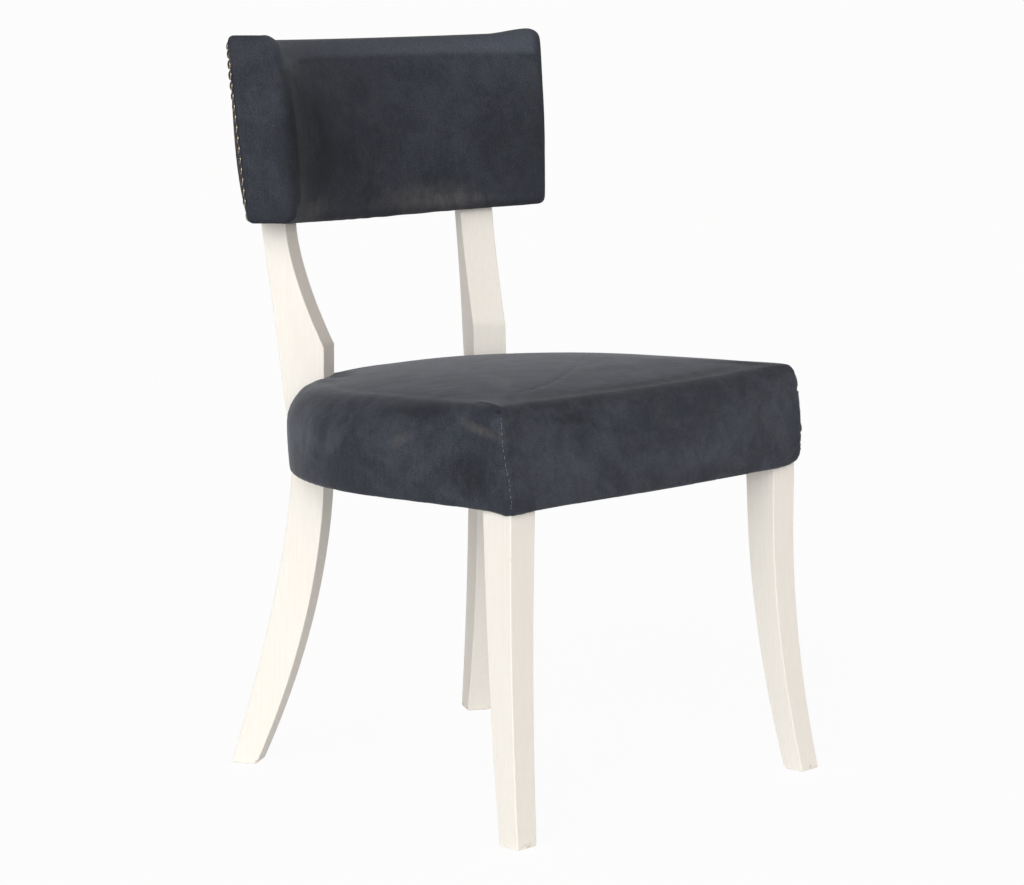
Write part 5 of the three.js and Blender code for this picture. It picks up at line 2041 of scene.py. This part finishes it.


# Patches of brushed nap, of painted shade and of painted highlight: place, size, turn, softness of
# the edge, colour, strength and raggedness
WISP = (0.096, 0.092, 0.092, 1)
# pale grey: dusty patches, and a painted highlight along the lip of the fold at the seat's near
# corner
DUSTY_AND_HIGHLIGHT = (0.075, 0.075, 0.081, 1)
SLATE = (0.066, 0.074, 0.094, 1)
# dark: darker patches of the cloth, and painted shade under edges, over the seat's top and by the
# back's fold
DARK = (0.013, 0.014, 0.018, 1)
# near black: painted shade along the crease over the seat and in the hollow under the fold at its
# near corner
CREASE_SHADE = (0.008, 0.009, 0.011, 1)
SEAT_PATCHES = (
    # the near side: wisps under the edge, bright round the rear, dark by the corner, painted shade
    # under the top edge, and by the corner a painted highlight along the lip of the fold over a
    # painted shadow in the hollow under it
    ((-0.2515, -0.2230, 0.4540), (0.030, 0.046, 0.0088), (0.31, 0, 0), 0.9, WISP, 0.68, 0.008),
    ((-0.2440, -0.2430, 0.4760), (0.007, 0.009, 0.0045), (0, 0, 0), 0.6, CREASE_SHADE, 1.00, 0.003),
    ((-0.2345, -0.2330, 0.4815), (0.0016, 0.018, 0.0040), (0, 0, -0.28), 0.6, DUSTY_AND_HIGHLIGHT, 0.80, 0.0015),
    ((-0.2655, -0.1150, 0.4350), (0.030, 0.028, 0.0100), (-0.35, 0, 0), 0.8, DUSTY_AND_HIGHLIGHT, 0.60, 0.012),
    ((-0.2480, -0.2480, 0.4560), (0.012, 0.012, 0.006), (0, 0, 0), 0.8, DUSTY_AND_HIGHLIGHT, 0.50, 0.006),
    ((-0.2520, -0.2000, 0.4050), (0.040, 0.060, 0.034), (0, 0, 0), 0.7, DARK, 0.62),
    ((-0.2550, -0.1450, 0.4660), (0.030, 0.060, 0.011), (0, 0, 0), 0.8, DARK, 0.50),
    ((-0.2560, 0.0560, 0.4250), (0.040, 0.050, 0.050), (0, 0, 0), 0.7, SLATE, 0.95),
    ((-0.2660, -0.0100, 0.4230), (0.030, 0.020, 0.026), (0.6, 0, 0), 0.7, SLATE, 0.55),
    ((-0.2150, 0.1200, 0.4150), (0.040, 0.040, 0.040), (0, 0, 0), 0.7, SLATE, 0.60),
    # the front: dark strokes of painted shade under the rolled edge, lighter towards the far corner
    # and the hem
    ((-0.1450, -0.2600, 0.4600), (0.080, 0.030, 0.0085), (0, 0.05, 0), 0.8, DARK, 0.50),
    ((-0.1050, -0.2650, 0.4480), (0.050, 0.030, 0.0060), (0, 0.35, 0), 0.8, DARK, 0.35),
    ((-0.1550, -0.2650, 0.4080), (0.060, 0.030, 0.034), (0, 0.2, 0), 0.7, SLATE, 0.32),
    ((0.0400, -0.2680, 0.3970), (0.110, 0.030, 0.022), (0, 0, 0), 0.7, SLATE, 0.36),
    ((0.1500, -0.2650, 0.4250), (0.070, 0.030, 0.036), (0, 0, 0), 0.7, SLATE, 0.26),
    ((0.2150, -0.2600, 0.4350), (0.045, 0.040, 0.050), (0, 0, 0), 0.7, SLATE, 0.40),
    ((0.1000, -0.2680, 0.4100), (0.060, 0.030, 0.030), (0, 0, 0), 0.7, SLATE, 0.22),
    # the top: painted shade, darker to the left and along the front and near edges where the sheen
    # lights it most, and a line of painted shade along the thin crease
    ((-0.1600, 0.0550, 0.4780), (0.095, 0.130, 0.020), (0, 0, 0.4), 0.8, DARK, 0.90),
    ((0.0000, -0.2640, 0.4840), (0.420, 0.080, 0.019), (0, 0, 0), 0.9, DARK, 0.80),
    ((-0.2620, -0.1300, 0.4790), (0.055, 0.150, 0.015), (0, 0, 0), 0.9, DARK, 0.45),
    ((-0.0500, 0.0200, 0.4900), (0.200, 0.110, 0.020), (0, 0, 0.6), 0.8, DARK, 0.20),
    ((-0.1440, -0.1990, 0.4860), (0.0150, 0.0016, 0.010), (0, 0, 0.36), 0.6, CREASE_SHADE, 1.00, 0.0015),
    ((-0.0980, -0.1850, 0.4880), (0.0400, 0.0014, 0.010), (0, 0, 0.40), 0.6, CREASE_SHADE, 0.75, 0.0015),
    ((-0.0160, -0.1400, 0.4930), (0.0560, 0.0014, 0.010), (0, 0, 0.57), 0.6, CREASE_SHADE, 0.75, 0.0015),
    ((0.0560, -0.0870, 0.4940), (0.0420, 0.0014, 0.010), (0, 0, 0.68), 0.6, CREASE_SHADE, 0.60, 0.0015),
)
BACK_PATCHES = (
    # the first two, by the left fold: painted shade over the bright band that the sheen gives there
    ((-0.1500, 0.1600, 0.7500), (0.095, 0.070, 0.090), (0, 0, 0), 0.55, DARK, 0.72, 0.012),
    ((-0.1960, 0.1280, 0.7450), (0.030, 0.040, 0.110), (0, 0, 0), 0.7, DARK, 0.70, 0.008),
    ((-0.0800, 0.1900, 0.7150), (0.070, 0.060, 0.045), (0, 0, 0), 0.6, DARK, 0.35),
    ((0.1750, 0.1450, 0.7450), (0.075, 0.070, 0.090), (0, 0, 0), 0.6, DARK, 0.42),
    ((0.0850, 0.1900, 0.6640), (0.135, 0.060, 0.026), (0, 0, 0), 0.8, DUSTY_AND_HIGHLIGHT, 0.95),
    ((-0.1300, 0.1700, 0.6620), (0.070, 0.060, 0.020), (0, 0, 0), 0.8, DUSTY_AND_HIGHLIGHT, 0.85),
    ((-0.1700, 0.1600, 0.8350), (0.050, 0.050, 0.016), (0, 0.1, 0), 0.7, DUSTY_AND_HIGHLIGHT, 0.50),
)


class CHAIR_PT_panel(bpy.types.Panel):
    bl_idname = "CHAIR_PT_panel"
    bl_label = "Klismos chair"
    bl_space_type = "VIEW_3D"
    bl_region_type = "UI"
    bl_category = "Chair"

    def draw(self, context):
        scene = context.scene
        for operator in OPERATORS:
            self.layout.operator(operator.bl_idname)
        for name in SETTINGS:
            box = self.layout.box()
            group = getattr(scene, name)
            for key in group.__annotations__:
                box.prop(group, key)


SETTINGS = {
    "chair_seat": ChairSeatSettings,
    "chair_back": ChairBackSettings,
    "chair_wood": ChairWoodSettings,
    "chair_nails": ChairNailSettings,
    "chair_stage": ChairStageSettings,
}
OPERATORS = (
    CHAIR_OT_stage,
    CHAIR_OT_materials,
    CHAIR_OT_frame_finishes,
    CHAIR_OT_front_legs,
    CHAIR_OT_rear_posts,
    CHAIR_OT_padding,
    CHAIR_OT_seat,
    CHAIR_OT_seam_stitches,
    CHAIR_OT_battens,
    CHAIR_OT_back,
    CHAIR_OT_nail_heads,
    CHAIR_OT_underside,
)


def register():
    for group in SETTINGS.values():
        bpy.utils.register_class(group)
    for operator in OPERATORS:
        bpy.utils.register_class(operator)
    bpy.utils.register_class(CHAIR_PT_panel)
    for name, group in SETTINGS.items():
        setattr(bpy.types.Scene, name, bpy.props.PointerProperty(type=group))


def unregister():
    for name in SETTINGS:
        delattr(bpy.types.Scene, name)
    bpy.utils.unregister_class(CHAIR_PT_panel)
    for operator in reversed(OPERATORS):
        bpy.utils.unregister_class(operator)
    for group in SETTINGS.values():
        bpy.utils.unregister_class(group)


def main():
    register()
    bpy.ops.chair.stage()
    bpy.ops.chair.materials()
    bpy.ops.chair.frame_finishes()
    bpy.ops.chair.front_legs()
    bpy.ops.chair.rear_posts()
    bpy.ops.chair.padding()
    bpy.ops.chair.seat()
    bpy.ops.chair.seam_stitches()
    bpy.ops.chair.battens()
    bpy.ops.chair.back()
    bpy.ops.chair.nail_heads()
    bpy.ops.chair.underside()
    deselect()


if __name__ == "__main__":
    main()
